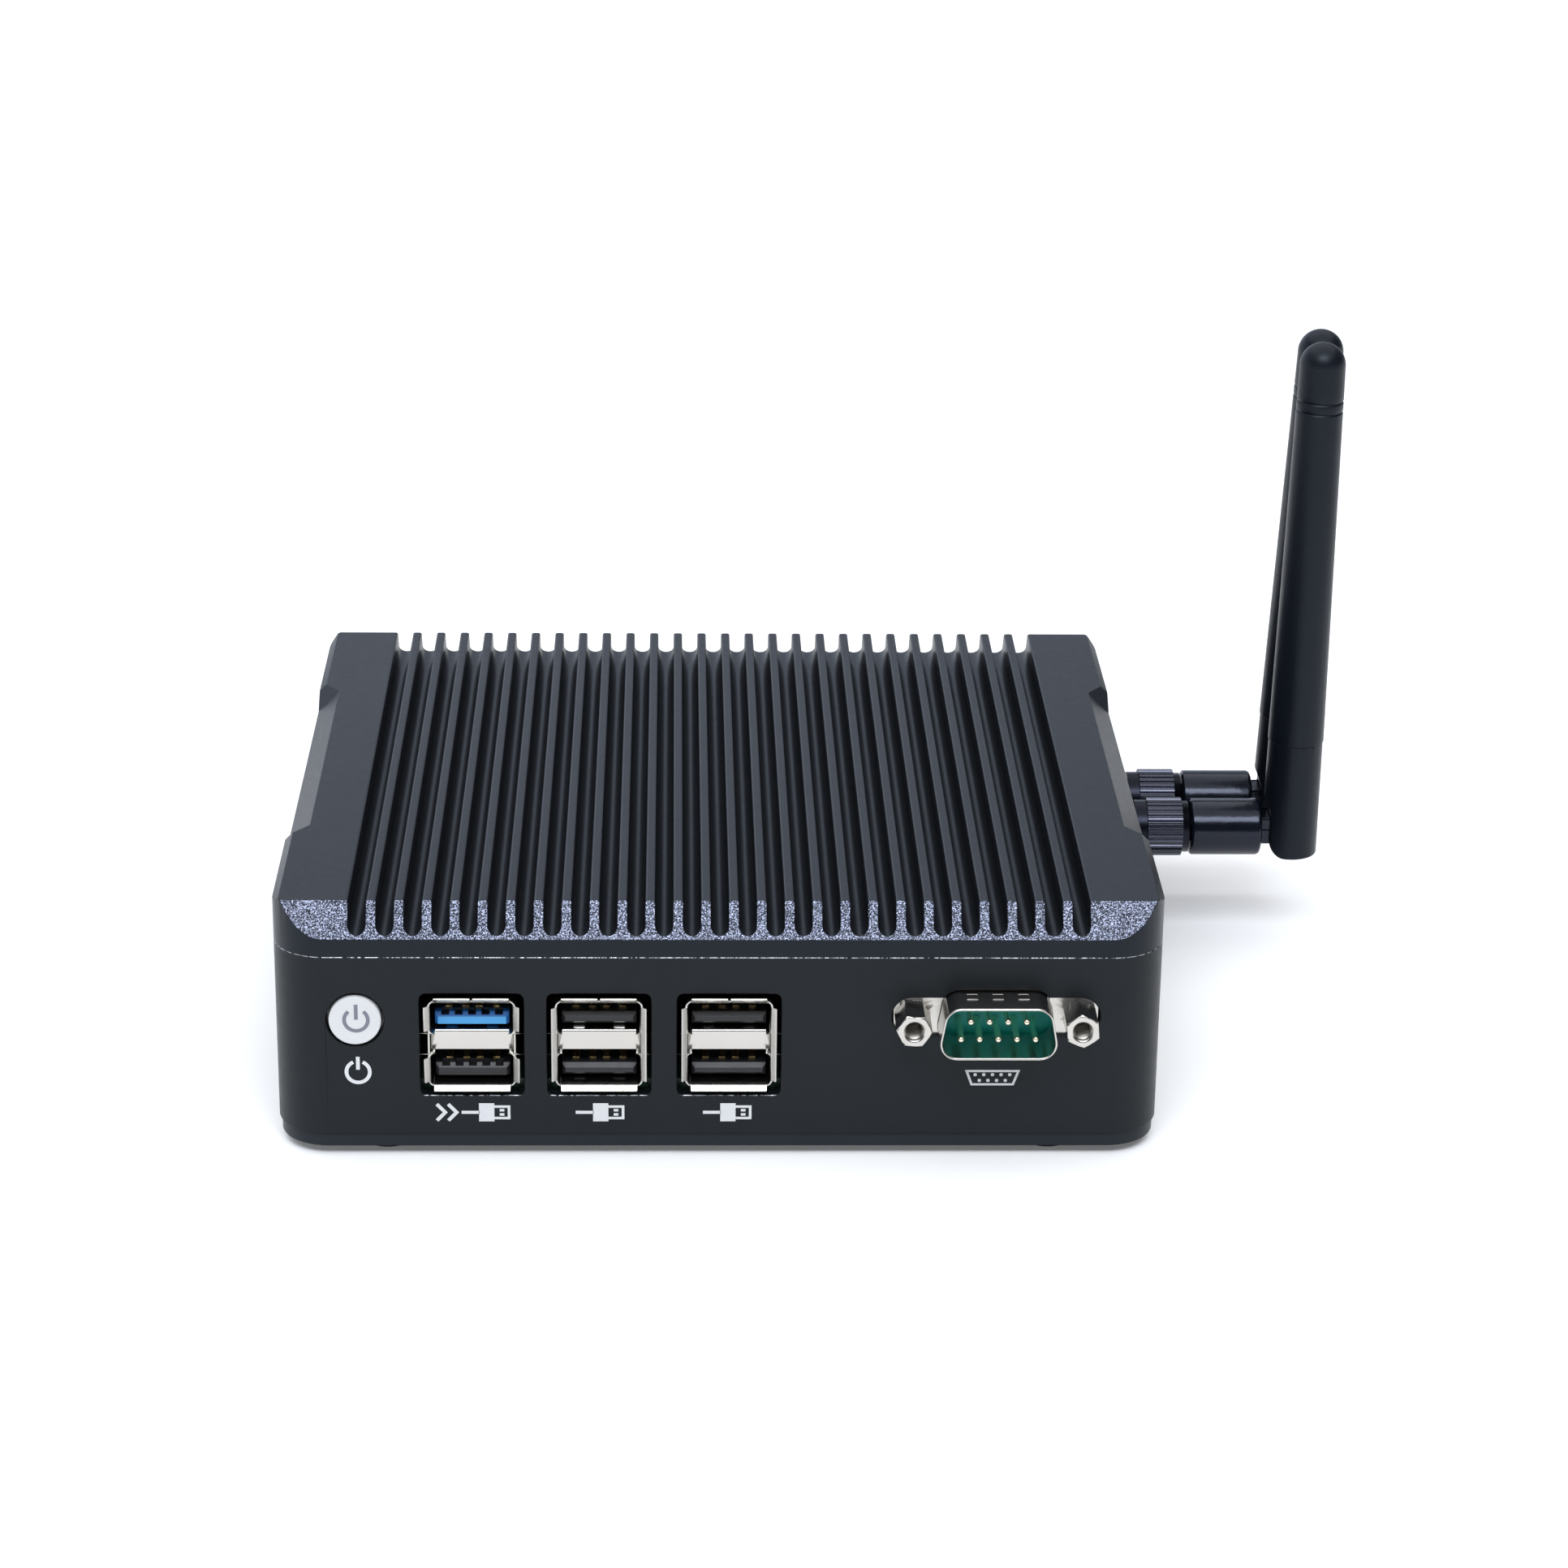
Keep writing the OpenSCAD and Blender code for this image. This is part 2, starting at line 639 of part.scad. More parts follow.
module dc_jack_body() color([0.06, 0.06, 0.07]) difference() {
    face = back_y - 0.2;
    box([dc_at[0] - dc_body[0] / 2, face - dc_body[1], board_top],
        [dc_at[0] + dc_body[0] / 2, face, dc_at[1] + dc_body[2]]);
    rod_y(dc_at[0], dc_at[1], face - dc_socket[1], back_y + 1, dc_socket[0]);
    rod_y(dc_at[0], dc_at[1], face - dc_socket[1] - 2, back_y, dc_pin_d + 0.02);
}

module dc_jack_pin() color([0.80, 0.78, 0.72]) {
    tip = back_y - 1.5;
    rod_y(dc_at[0], dc_at[1], tip - dc_socket[1], tip, dc_pin_d);
    translate([dc_at[0], tip, dc_at[1]]) sphere(d = dc_pin_d);
}

// A rectangle with its two lower corners cut off
module hdmi_outline(w, h) {
    polygon([[-w / 2, h / 2], [-w / 2, -h / 6], [-w / 2 + h / 3, -h / 2],
             [w / 2 - h / 3, -h / 2], [w / 2, -h / 6], [w / 2, h / 2]]);
}

module hdmi_shell() color([0.80, 0.78, 0.72]) translate([hdmi_at[0], 0, hdmi_at[1]]) difference() {
    along_y(back_y - hdmi_depth, back_y + 0.2) hdmi_outline(hdmi_size[0], hdmi_size[1]);
    along_y(back_y - hdmi_depth + 0.7, back_y + 1)
        hdmi_outline(hdmi_size[0] - 2 * hdmi_wall, hdmi_size[1] - 2 * hdmi_wall);
}

module hdmi_tongue() color([0.07, 0.07, 0.08]) translate([hdmi_at[0], 0, hdmi_at[1]]) {
    along_y(back_y - hdmi_depth + 0.7, back_y - 9)
        hdmi_outline(hdmi_size[0] - 2 * hdmi_wall - 0.2, hdmi_size[1] - 2 * hdmi_wall - 0.2);
    box([-6.1, back_y - 9.1, -0.2], [6.1, back_y - 1.8, 1]);
}

// A modular jack's mouth, with the slot for the plug's latch below it
module lan_mouth_outline() {
    translate([0, 0.9]) square(lan_mouth, center = true);
    translate([0, -lan_mouth[1] / 2 - 0.4]) square(lan_latch, center = true);
}

module lan_shells() color([0.80, 0.78, 0.72]) for (x = lan_x) translate([x, 0, lan_z]) difference() {
    along_y(back_y + lan_wall - lan_shell[2], back_y + lan_wall)
        square([lan_shell[0], lan_shell[1]], center = true);
    along_y(back_y + 2 * lan_wall - lan_shell[2], back_y)
        square([lan_shell[0] - 2 * lan_wall, lan_shell[1] - 2 * lan_wall], center = true);
    along_y(back_y - 1, back_y + 1) lan_mouth_outline();
}

module lan_inserts() color([0.07, 0.07, 0.08]) for (x = lan_x) translate([x, 0, lan_z]) difference() {
    along_y(back_y + 0.9 - lan_shell[2], back_y - 0.05)
        square([lan_shell[0] - 0.9, lan_shell[1] - 0.9], center = true);
    along_y(back_y - lan_depth, back_y + 1) lan_mouth_outline();
}

module audio_jacks() color([0.07, 0.07, 0.08]) for (x = audio_x) difference() {
    inner = back_y - wall - 0.1;
    union() {
        box([x - audio_body[0] / 2, inner - audio_body[1], board_top],
            [x + audio_body[0] / 2, inner, audio_z + audio_body[0] / 2]);
        rod_y(x, audio_z, inner - 0.1, back_y + 0.3, audio_collar_d);
    }
    rod_y(x, audio_z, back_y - audio_bore[1], back_y + 1, audio_bore[0]);
}

// ---------- electronics ----------

module motherboard() color([0.04, 0.20, 0.12]) difference() {
    translate([-board[0] / 2, -board[1] / 2, board_z]) cube([board[0], board[1], board_t]);
    at_corners(standoff_at) translate([0, 0, board_z - 1]) cylinder(d = 3.4, h = board_t + 2);
}

module board_standoffs() color([0.80, 0.62, 0.28]) at_corners(standoff_at) difference() {
    translate([0, 0, frame_z]) cylinder(d = standoff_af / cos(30), h = board_z - frame_z, $fn = 6);
    translate([0, 0, frame_z + 0.8]) cylinder(d = screw_d, h = board_z);
}

module board_screws() color([0.75, 0.75, 0.76]) at_corners(standoff_at)
    translate([0, 0, board_top]) rotate([180, 0, 0]) pan_screw(6);

// A block of the given size that stands on the board's top, or lift above it
module block_at(at, size, lift = 0) {
    translate([at[0] - size[0] / 2, at[1] - size[1] / 2, board_top + lift]) cube(size);
}

module processor() color([0.10, 0.11, 0.12]) {
    block_at(cpu_at, cpu_package);
    block_at(cpu_at, cpu_die + [0, 0, 0.02], cpu_package[2] - 0.02);
}

module thermal_pad() color([0.55, 0.60, 0.62])
    block_at(cpu_at, pad_size, cpu_package[2] + cpu_die[2]);

module heat_block() color([0.72, 0.73, 0.75]) {
    base = cpu_package[2] + cpu_die[2] + pad_size[2];
    block_at(cpu_at, [heat_block_w, heat_block_w, lid_z - board_top - base], base);
}

module memory_socket() color([0.09, 0.09, 0.10]) difference() {
    half = memory_len / 2;
    box([-22, -half - 2.7, board_top], [-15.5, half + 2.7, memory_z + 2.2]);
    box([-23, -half - 0.1, memory_z], [-18, half + 0.1, memory_z + memory_t]);
}

module memory_module() color([0.05, 0.28, 0.16]) {
    half = memory_len / 2;
    box([-48, -half, memory_z + 0.05], [-18.1, half, memory_z + memory_t - 0.05]);
    for (y = [-23, -8, 8, 23])
        box([-42, y - 5.5, memory_z + memory_t - 0.1], [-30, y + 5.5, memory_z + memory_t + 0.9]);
}

// An M.2 card: board and chips, with its socket at the -X end
module m2_card(at, length) {
    box([at[0], at[1], card_z], [at[0] + length, at[1] + card_w, card_z + card_t]);
    box([at[0] + 7, at[1] + 3, card_z + card_t - 0.05],
        [at[0] + length - 5, at[1] + card_w - 3, card_z + card_t + 1.2]);
}

module storage_card() color([0.04, 0.18, 0.30]) m2_card(storage_at, storage_len);
module wifi_card() color([0.06, 0.30, 0.18]) m2_card(wifi_at, wifi_len);

module card_sockets() color([0.12, 0.10, 0.08]) for (at = [storage_at, wifi_at]) difference() {
    box([at[0] - 3, at[1], board_top], [at[0] + 2.5, at[1] + card_w, card_z + card_t + 1]);
    box([at[0] - 0.05, at[1] - 1, card_z - 0.05], [at[0] + 3, at[1] + card_w + 1, card_z + card_t + 0.05]);
}

// A post and a flat screw head that hold down the free end of each card
module card_screws() color([0.75, 0.75, 0.76])
    for (card = [[storage_at, storage_len], [wifi_at, wifi_len]])
        translate([card[0][0] + card[1] - 1.6, card[0][1] + card_w / 2, 0]) {
            translate([0, 0, board_top]) cylinder(d = 3.2, h = card_z - board_top);
            translate([0, 0, card_z + card_t]) cylinder(d = 3.2, h = 0.8);
        }

module coin_cell_holder() color([0.07, 0.07, 0.08]) translate([coin_at[0], coin_at[1], board_top])
    difference() {
        cylinder(d = coin[0] + 2, h = coin[1] + 0.2);
        translate([0, 0, 1]) cylinder(d = coin[0] + 0.1, h = coin[1] + 1);
    }

module coin_cell() color([0.78, 0.78, 0.80]) translate([coin_at[0], coin_at[1], board_top + 1])
    cylinder(d = coin[0], h = coin[1]);

module power_inductors() color([0.22, 0.22, 0.23]) for (i = [0 : 3])
    block_at([-8 + 10 * i, -34], inductor);

module capacitors() color([0.72, 0.72, 0.74]) for (i = [0 : 2])
    translate([31 + 7.5 * i, -31, board_top]) cylinder(d = capacitor[0], h = capacitor[1]);

// ---------- antennas ----------

// Places children in an antenna's own axes: X out of its socket, from the case's side
module at_antenna(i) {
    translate([side_x, antenna_y[i], antenna_z]) children();
}

// The same for the part that swivels, turned towards the front
module at_swivel(i) {
    at_antenna(i) rotate([antenna_lean[i], 0, 0]) children();
}

// The same for the whip, tilted about the hinge pin, with the pin at the origin
module at_hinge(i) {
    at_swivel(i) translate([hinge_reach, 0, 0]) rotate([0, antenna_tilt[i], 0]) children();
}

module antenna_panel_nuts() color([0.45, 0.45, 0.47]) for (i = [FRONT, REAR]) at_antenna(i) difference() {
    union() {
        rod_x(0, washer[1], washer[0]);
        translate([washer[1] - eps, 0, 0]) rotate([0, 90, 0])
            cylinder(d = panel_nut[0] / cos(30), h = panel_nut[1], $fn = 6);
    }
    rod_x(-1, 4, socket_d + 0.02);
}

// A threaded socket through the wall, with a hex shoulder and a crimp tail inside
module antenna_socket(i) color([0.78, 0.64, 0.35]) at_antenna(i) difference() {
    union() {
        rod_x(-wall - 1, socket_end, socket_d);
        translate([-wall - shoulder[1], 0, 0]) rotate([0, 90, 0])
            cylinder(d = shoulder[0] / cos(30), h = shoulder[1], $fn = 6);
        rod_x(-wall - tail[1], -wall - 2, tail[0]);
    }
    rod_x(5, socket_end + 1, 4.6);
}

// The number of point k on ring j of a cable
function ring_point(j, k) = j * cable_sides + k % cable_sides;

// Coaxial leads from the sockets' tails down to the radio card
module antenna_cables() color([0.10, 0.10, 0.11]) for (i = [FRONT, REAR]) {
    start = [side_x - wall - tail[1], antenna_y[i], antenna_z];
    finish = [wifi_at[0] + 19 - 4 * i, wifi_at[1] + card_w - 4, card_z + card_t + 1.2];
    ctrl = [start, start - [7, 0, 0], finish + [0, 0, 9], finish];
    points = [for (j = [0 : cable_rings - 1])
        let (
            t = j / (cable_rings - 1),
            c = bezier(ctrl, t),
            d = bezier(ctrl, min(t + 0.01, 1)) - bezier(ctrl, max(t - 0.01, 0)),
            u = cross(d, [0, 1, 0.3]) / norm(cross(d, [0, 1, 0.3])),
            v = cross(d, u) / norm(d)
        )
        for (k = [0 : cable_sides - 1])
            c + cable_r * (cos(360 * k / cable_sides) * u + sin(360 * k / cable_sides) * v)];
    polyhedron(points = points, faces = concat(
        [[for (k = [0 : cable_sides - 1]) k]],
        [for (j = [0 : cable_rings - 2], k = [0 : cable_sides - 1])
            [ring_point(j, k), ring_point(j + 1, k), ring_point(j + 1, k + 1), ring_point(j, k + 1)]],
        [[for (k = [cable_sides - 1 : -1 : 0]) ring_point(cable_rings - 1, k)]]
    ));
}

// Outline of a knurled ring: straight flanks up to a flat crest, count times round
function knurl_outline(count, crest_r, root_r) = [
    for (k = [0 : count - 1], p = [[0.1, root_r], [0.3, crest_r], [0.7, crest_r], [0.9, root_r]])
        p[1] * [cos(360 * (k + p[0]) / count), sin(360 * (k + p[0]) / count)]
];

module coupling_nut(i) color([0.22, 0.22, 0.24]) at_antenna(i) difference() {
    union() {
        rod_x(nut_from, knurl_to - 1, collar_d[0]);
        translate([knurl_from, 0, 0]) rotate([0, 90, 0]) linear_extrude(knurl_to - knurl_from)
            polygon(knurl_outline(knurl_count, knurl_d / 2, knurl_d / 2 - knurl_depth));
        rod_x(knurl_to - 1, nut_to, collar_d[1]);
    }
    rod_x(nut_from - 1, 9.4, socket_d + 0.15);
    rod_x(9, nut_to + 1, plug_d + 0.2);
}

// The round base, its plug inside the nut, and the flat tongue that the whip hinges on
module antenna_barrel(i) color([0.09, 0.10, 0.12]) at_swivel(i) difference() {
    union() {
        rotate([0, 90, 0]) rotate_extrude() polygon([
            [0, 6], [plug_d / 2 - 0.2, 6], [plug_d / 2 - 0.2, 9.5],
            [plug_d / 2, 9.5], [plug_d / 2, barrel_from],
            [barrel_d / 2 - 0.4, barrel_from], [barrel_d / 2, barrel_from + 0.4],
            [barrel_d / 2, barrel_to - 0.7], [barrel_d / 2 - 0.2, barrel_to - 0.2],
            [barrel_d / 2 - 0.7, barrel_to], [0, barrel_to]
        ]);
        box([barrel_to - 1, -tongue_t / 2, -tongue_h / 2], [hinge_reach, tongue_t / 2, tongue_h / 2]);
        translate([hinge_reach, -tongue_t / 2, 0]) rotate([-90, 0, 0]) cylinder(d = tongue_h, h = tongue_t);
        for (z = tongue_rib_z)
            box([barrel_to - eps, -tongue_t / 2 - tongue_rib[1], z],
                [barrel_to + tongue_rib[0], tongue_t / 2 + tongue_rib[1], z + tongue_rib[2]]);
    }
    translate([hinge_reach, -tongue_t, 0]) rotate([-90, 0, 0]) cylinder(d = hinge_pin_d, h = 2 * tongue_t);
}

module hinge_pin(i) color([0.5, 0.5, 0.52]) at_swivel(i)
    translate([hinge_reach, -hinge_pin_l / 2, 0]) rotate([-90, 0, 0])
        cylinder(d = hinge_pin_d, h = hinge_pin_l);

// The whip's radius at height z above the hinge pin
function whip_r(z) = whip_r0 - (whip_r0 - whip_tip_r) * z / (whip_h - whip_tip_r);

// The fork that straddles the tongue: flat towards the barrel, with a round inner corner
module antenna_knuckle(i) color([0.08, 0.09, 0.10]) at_hinge(i) difference() {
    union() {
        translate([whip_offset, 0, 0]) rotate_extrude() polygon([
            [0, knuckle_bottom], [whip_r(0) - 0.2, knuckle_bottom], [whip_r(0), knuckle_bottom + 0.2],
            [whip_r(knuckle_top), knuckle_top], [0, knuckle_top]
        ]);
        translate([whip_offset, 0, knuckle_top - 1]) cylinder(d = spigot[0], h = spigot[1] + 1);
    }
    ease = [knuckle_flat - knuckle_ease[0], knuckle_flat_top + knuckle_ease[1]];
    rotate([90, 0, 0]) translate([0, 0, -10]) linear_extrude(20) {
        polygon([[-10, -10], [knuckle_flat, -10], [knuckle_flat, knuckle_flat_top], ease, [-10, ease[1]]]);
        difference() {
            translate([knuckle_flat - 1, knuckle_bottom - 1]) square(knuckle_round + 1);
            translate([knuckle_flat + knuckle_round, knuckle_bottom + knuckle_round]) circle(knuckle_round);
        }
    }
    reach = tongue_h / 2 + 0.25;
    box([-10, -slot_t / 2, -10], [reach, slot_t / 2, reach]);
    bore = hinge_pin_l + 0.3;
    translate([0, -bore / 2, 0]) rotate([-90, 0, 0]) cylinder(d = hinge_bore_d, h = bore);
}

// A tapered sleeve with a round tip and two fine grooves below it
module antenna_whip(i) color([0.12, 0.13, 0.16]) at_hinge(i) translate([whip_offset, 0, 0]) difference() {
    tip_z = whip_h - whip_tip_r;
    union() {
        rotate_extrude() polygon([
            [0, knuckle_top], [whip_r(knuckle_top) + whip_step, knuckle_top],
            [whip_tip_r, tip_z], [0, tip_z]
        ]);
        translate([0, 0, tip_z]) sphere(whip_tip_r);
    }
    translate([0, 0, knuckle_top - 1]) cylinder(d = spigot[0] + 0.04, h = spigot[1] + 1.1);
    for (d = groove_drop) translate([0, 0, whip_h - d]) rotate_extrude()
        translate([whip_r(whip_h - d) + whip_step, 0]) polygon([
            [-groove_depth, 0], [0.4, -groove_w], [0.4, groove_w]
        ]);
}

module front_antenna_socket() antenna_socket(FRONT);
module front_coupling_nut() coupling_nut(FRONT);
module front_antenna_barrel() antenna_barrel(FRONT);
module front_hinge_pin() hinge_pin(FRONT);
module front_antenna_knuckle() antenna_knuckle(FRONT);
module front_antenna_whip() antenna_whip(FRONT);
module rear_antenna_socket() antenna_socket(REAR);
module rear_coupling_nut() coupling_nut(REAR);
module rear_antenna_barrel() antenna_barrel(REAR);
module rear_hinge_pin() hinge_pin(REAR);
module rear_antenna_knuckle() antenna_knuckle(REAR);
module rear_antenna_whip() antenna_whip(REAR);

top_heatsink();
mid_frame();
bottom_plate();
rubber_feet();
case_screws();
power_button();
switch_plunger();
power_switch();
button_board();
usb_left_shell();
usb_middle_shell();
usb_right_shell();
usb_left_body();
usb_left_blue_tongue();
usb_middle_body();
usb_right_body();
usb_contacts();
com_shell();
com_body();
com_pins();
com_jackscrews();
dc_jack_body();
dc_jack_pin();
hdmi_shell();
hdmi_tongue();
lan_shells();
lan_inserts();
audio_jacks();
motherboard();
board_standoffs();
board_screws();
processor();
thermal_pad();
heat_block();
memory_socket();
memory_module();
storage_card();
wifi_card();
card_sockets();
card_screws();
coin_cell();
coin_cell_holder();
power_inductors();
capacitors();
antenna_panel_nuts();
antenna_cables();
front_antenna_socket();
front_coupling_nut();
front_antenna_barrel();
front_hinge_pin();
front_antenna_knuckle();
front_antenna_whip();
rear_antenna_socket();
rear_coupling_nut();
rear_antenna_barrel();
rear_hinge_pin();
rear_antenna_knuckle();
rear_antenna_whip();
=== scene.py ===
"""Looks for the fanless mini PC, around its frame: materials, finished pieces, marks, camera and studio."""

import json
import math

import bmesh
import bpy
from mathutils import Matrix, Vector

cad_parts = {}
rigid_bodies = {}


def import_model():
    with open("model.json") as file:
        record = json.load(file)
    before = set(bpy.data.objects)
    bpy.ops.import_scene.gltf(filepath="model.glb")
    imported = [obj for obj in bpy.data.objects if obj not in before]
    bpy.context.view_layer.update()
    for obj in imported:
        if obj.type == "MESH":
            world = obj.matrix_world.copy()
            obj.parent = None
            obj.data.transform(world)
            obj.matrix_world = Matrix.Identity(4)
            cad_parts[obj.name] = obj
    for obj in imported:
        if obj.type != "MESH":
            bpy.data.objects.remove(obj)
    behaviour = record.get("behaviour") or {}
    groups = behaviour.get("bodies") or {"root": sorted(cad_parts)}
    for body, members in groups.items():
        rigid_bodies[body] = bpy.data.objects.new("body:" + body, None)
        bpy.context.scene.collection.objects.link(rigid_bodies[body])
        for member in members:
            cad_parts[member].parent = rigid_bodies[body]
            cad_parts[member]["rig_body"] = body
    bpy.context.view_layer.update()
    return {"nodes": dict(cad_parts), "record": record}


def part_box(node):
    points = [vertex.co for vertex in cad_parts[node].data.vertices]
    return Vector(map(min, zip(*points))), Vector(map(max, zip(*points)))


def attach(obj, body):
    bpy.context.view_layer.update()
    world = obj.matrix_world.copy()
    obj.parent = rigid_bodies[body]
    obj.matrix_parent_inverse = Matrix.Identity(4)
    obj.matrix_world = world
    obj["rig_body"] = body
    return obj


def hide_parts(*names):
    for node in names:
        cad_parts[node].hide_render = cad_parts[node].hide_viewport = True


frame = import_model()
NODES = frame["nodes"]
MM = 0.001
SLOT_OF = {row["node"]: row["material_slot"] for row in frame["record"]["subparts"]}
CASE = NODES["mid_frame"]["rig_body"]
ANTENNAS = ("front", "rear")
USB_STACKS = ("left", "middle", "right")

# ---------- places on the case, in millimetres ----------

# X and Z of the power button's middle, and of the serial port's
BUTTON_AT = (-54.2, 22.5)
SERIAL_AT = (41.3, 23.0)

# Across the two jackscrews; a Y just behind their end faces; a radius just outside a bore's rim
JACKSCREW_PITCH = 24.99
JACKSCREW_END_Y = -68
JACKSCREW_RIM = 1.6
COUNTERSINK = 0.42

# The thread in a jackscrew's bore: Y of the first crest, pitch, crests, radii and half width of a crest
THREAD_START_Y = -67.4
THREAD_PITCH = 0.635
THREAD_TURNS = 6
THREAD_ROOT = 1.43
THREAD_CREST = 1.20
THREAD_HALF = 0.26

# X of the middle of each USB stack
USB_AT = (-36.9, -17.95, 1.45)

# The bar between a stack's ports: Y of its face, half its width, heights around it and around its top
# edge, and that edge's rounding; then a Y just behind the lips in front of it
USB_BAR_Y = -61.6
USB_BAR_HALF = 6.2
USB_BAR_HEIGHTS = (15.9, 21.5)
USB_BAR_TOP = (19.8, 20.8)
USB_BAR_ROUNDING = 0.42
USB_LIPS_Y = -62.6

# Heights of a stack's two floors; how far the springs in each rise; the springs' places across a port,
# from each place to the spring's -X side, and the spring's width
USB_FLOORS = (11.94, 20.34)
SPRING_CRESTS = ((0.10, 0.22), (0.22, 0.50), (0.10, 0.25))
SPRING_SHIFTS = (-3.0, 3.0)
SPRING_SIDE = 0.82
SPRING_WIDTH = 1.65

# The blue tongue: Y of its front and of its notches' backs, and the heights of the notches
TONGUE_FRONT_Y = -61.2
NOTCH_BACK_Y = -59
NOTCH_HEIGHTS = (22.4, 22.93)

# X of the knurl's two ends on a coupling nut
KNURL = (72.2, 78.4)

# X of the middle of each network socket, its contact wires' number, pitch and width, and its two lenses
LAN_AT = (-36, -16.5)
WIRES = 8
WIRE_PITCH = 1.02
WIRE_WIDTH = 0.34
LENS_SHIFTS = (-5.2, 5.2)
LENS_WIDTH = 2.8
LENS_FACE_Y = 63.412

# The ink's thickness; X and Z of the panel's marks; the cap's mark, from the middle of the button
INK_THICK = 0.012
POWER_MARK_AT = (-53.93, 14.0)
USB_MARK_X = (-36.9, -17.9, 1.2)
USB_MARK_Z = 7.3
SERIAL_MARK_AT = (41.0, 13.1)
CAP_MARK_SHIFT = (0.19, 0.14)

# ---------- camera ----------

CAMERA_AT = (-0.00697, -0.62698, 0.28155)
CAMERA_YAW = math.radians(1.64)
CAMERA_PITCH = math.radians(21.41)
CAMERA_ROLL = math.radians(0.71)
CAMERA_LENS = 95.48


def make_camera():
    """The camera stands in front of the panel, looks down on the case and is rolled a little."""
    data = bpy.data.cameras.new("camera")
    data.sensor_width = 36
    data.lens = CAMERA_LENS
    data.clip_start = 0.01
    data.clip_end = 50
    camera = bpy.data.objects.new("camera", data)
    bpy.context.scene.collection.objects.link(camera)
    flat = math.cos(CAMERA_PITCH)
    ahead = Vector((math.sin(CAMERA_YAW) * flat, math.cos(CAMERA_YAW) * flat, -math.sin(CAMERA_PITCH)))
    right = Vector((math.cos(CAMERA_YAW), -math.sin(CAMERA_YAW), 0))
    up = right.cross(ahead)
    across = math.cos(CAMERA_ROLL) * right + math.sin(CAMERA_ROLL) * up
    above = -math.sin(CAMERA_ROLL) * right + math.cos(CAMERA_ROLL) * up
    turn = Matrix((across, above, -ahead)).transposed().to_4x4()
    camera.matrix_world = Matrix.Translation(CAMERA_AT) @ turn
    bpy.context.scene.camera = camera


# ---------- studio ----------

def area_light(name, at, target, size, power, color=(1, 1, 1)):
    """A rectangular soft box at a point, aimed at another."""
    data = bpy.data.lights.new(name, "AREA")
    data.shape = "RECTANGLE"
    data.size, data.size_y = size
    data.energy = power
    data.color = color
    light = bpy.data.objects.new(name, data)
    bpy.context.scene.collection.objects.link(light)
    aim = (Vector(target) - Vector(at)).to_track_quat("-Z", "Y")
    light.matrix_world = Matrix.Translation(at) @ aim.to_matrix().to_4x4()


def make_studio():
    """A pale floor, lit faintly from below, under a wide soft box overhead and a long one high in front."""
    floor_mesh = bpy.data.meshes.new("floor")
    half = 6
    corners = [(-half, -half, 0), (half, -half, 0), (half, half, 0), (-half, half, 0)]
    floor_mesh.from_pydata(corners, [], [(0, 1, 2, 3)])
    floor = bpy.data.objects.new("floor", floor_mesh)
    bpy.context.scene.collection.objects.link(floor)
    white = (0.93, 0.93, 0.93)
    paper = Look("floor_paper", white, roughness=0.9, Emission_Color=(1, 1, 1, 1), Emission_Strength=0.13)
    paper.tint(white, (0.90, 0.90, 0.90), paper.noise(3, 2))
    floor_mesh.materials.append(paper.mat)

    bpy.context.scene.view_settings.view_transform = "Standard"
    area_light("soft_box_above", at=(0, 0.4, 3.0), target=(0, 0.4, 0), size=(6, 6), power=150)
    area_light("soft_box_front", at=(0.0, -0.944, 1.166), target=(0, 0, 0), size=(1.1, 0.5), power=15.5,
               color=(0.88, 0.93, 1.0))


def set_range(node, low, high, out_low, out_high):
    """Sets a Map Range node to run from low..high to out_low..out_high."""
    for socket, value in (("From Min", low), ("From Max", high), ("To Min", out_low), ("To Max", out_high)):
        node.inputs[socket].default_value = value


def make_room():
    """A room that is bright behind the case and to its left, most of all low down, and dark in front."""
    world = bpy.data.worlds.new("room")
    world.use_nodes = True
    tree = world.node_tree
    backdrop = tree.nodes["Background"]
    backdrop.inputs["Color"].default_value = (0.84, 0.93, 1.12, 1)
    heading = tree.nodes.new("ShaderNodeTexCoord").outputs["Generated"]

    def ramp(toward, low, high, out_low, out_high):
        """A factor that follows how far the heading lies towards a direction."""
        along = tree.nodes.new("ShaderNodeVectorMath")
        along.operation = "DOT_PRODUCT"
        along.inputs[1].default_value = Vector(toward).normalized()
        tree.links.new(heading, along.inputs[0])
        made = tree.nodes.new("ShaderNodeMapRange")
        set_range(made, low, high, out_low, out_high)
        tree.links.new(along.outputs["Value"], made.inputs["Value"])
        return made.outputs["Result"]

    strength = tree.nodes.new("ShaderNodeMath")
    strength.operation = "MULTIPLY"
    behind_left = ramp((-0.6, 0.8, 0), 0.1, 0.95, 0.12, 0.95)
    low_down = ramp((0, 0, 1), 0.25, 0.60, 1.25, 0.55)
    tree.links.new(behind_left, strength.inputs[0])
    tree.links.new(low_down, strength.inputs[1])
    tree.links.new(strength.outputs["Value"], backdrop.inputs["Strength"])
    bpy.context.scene.world = world


# ---------- materials ----------

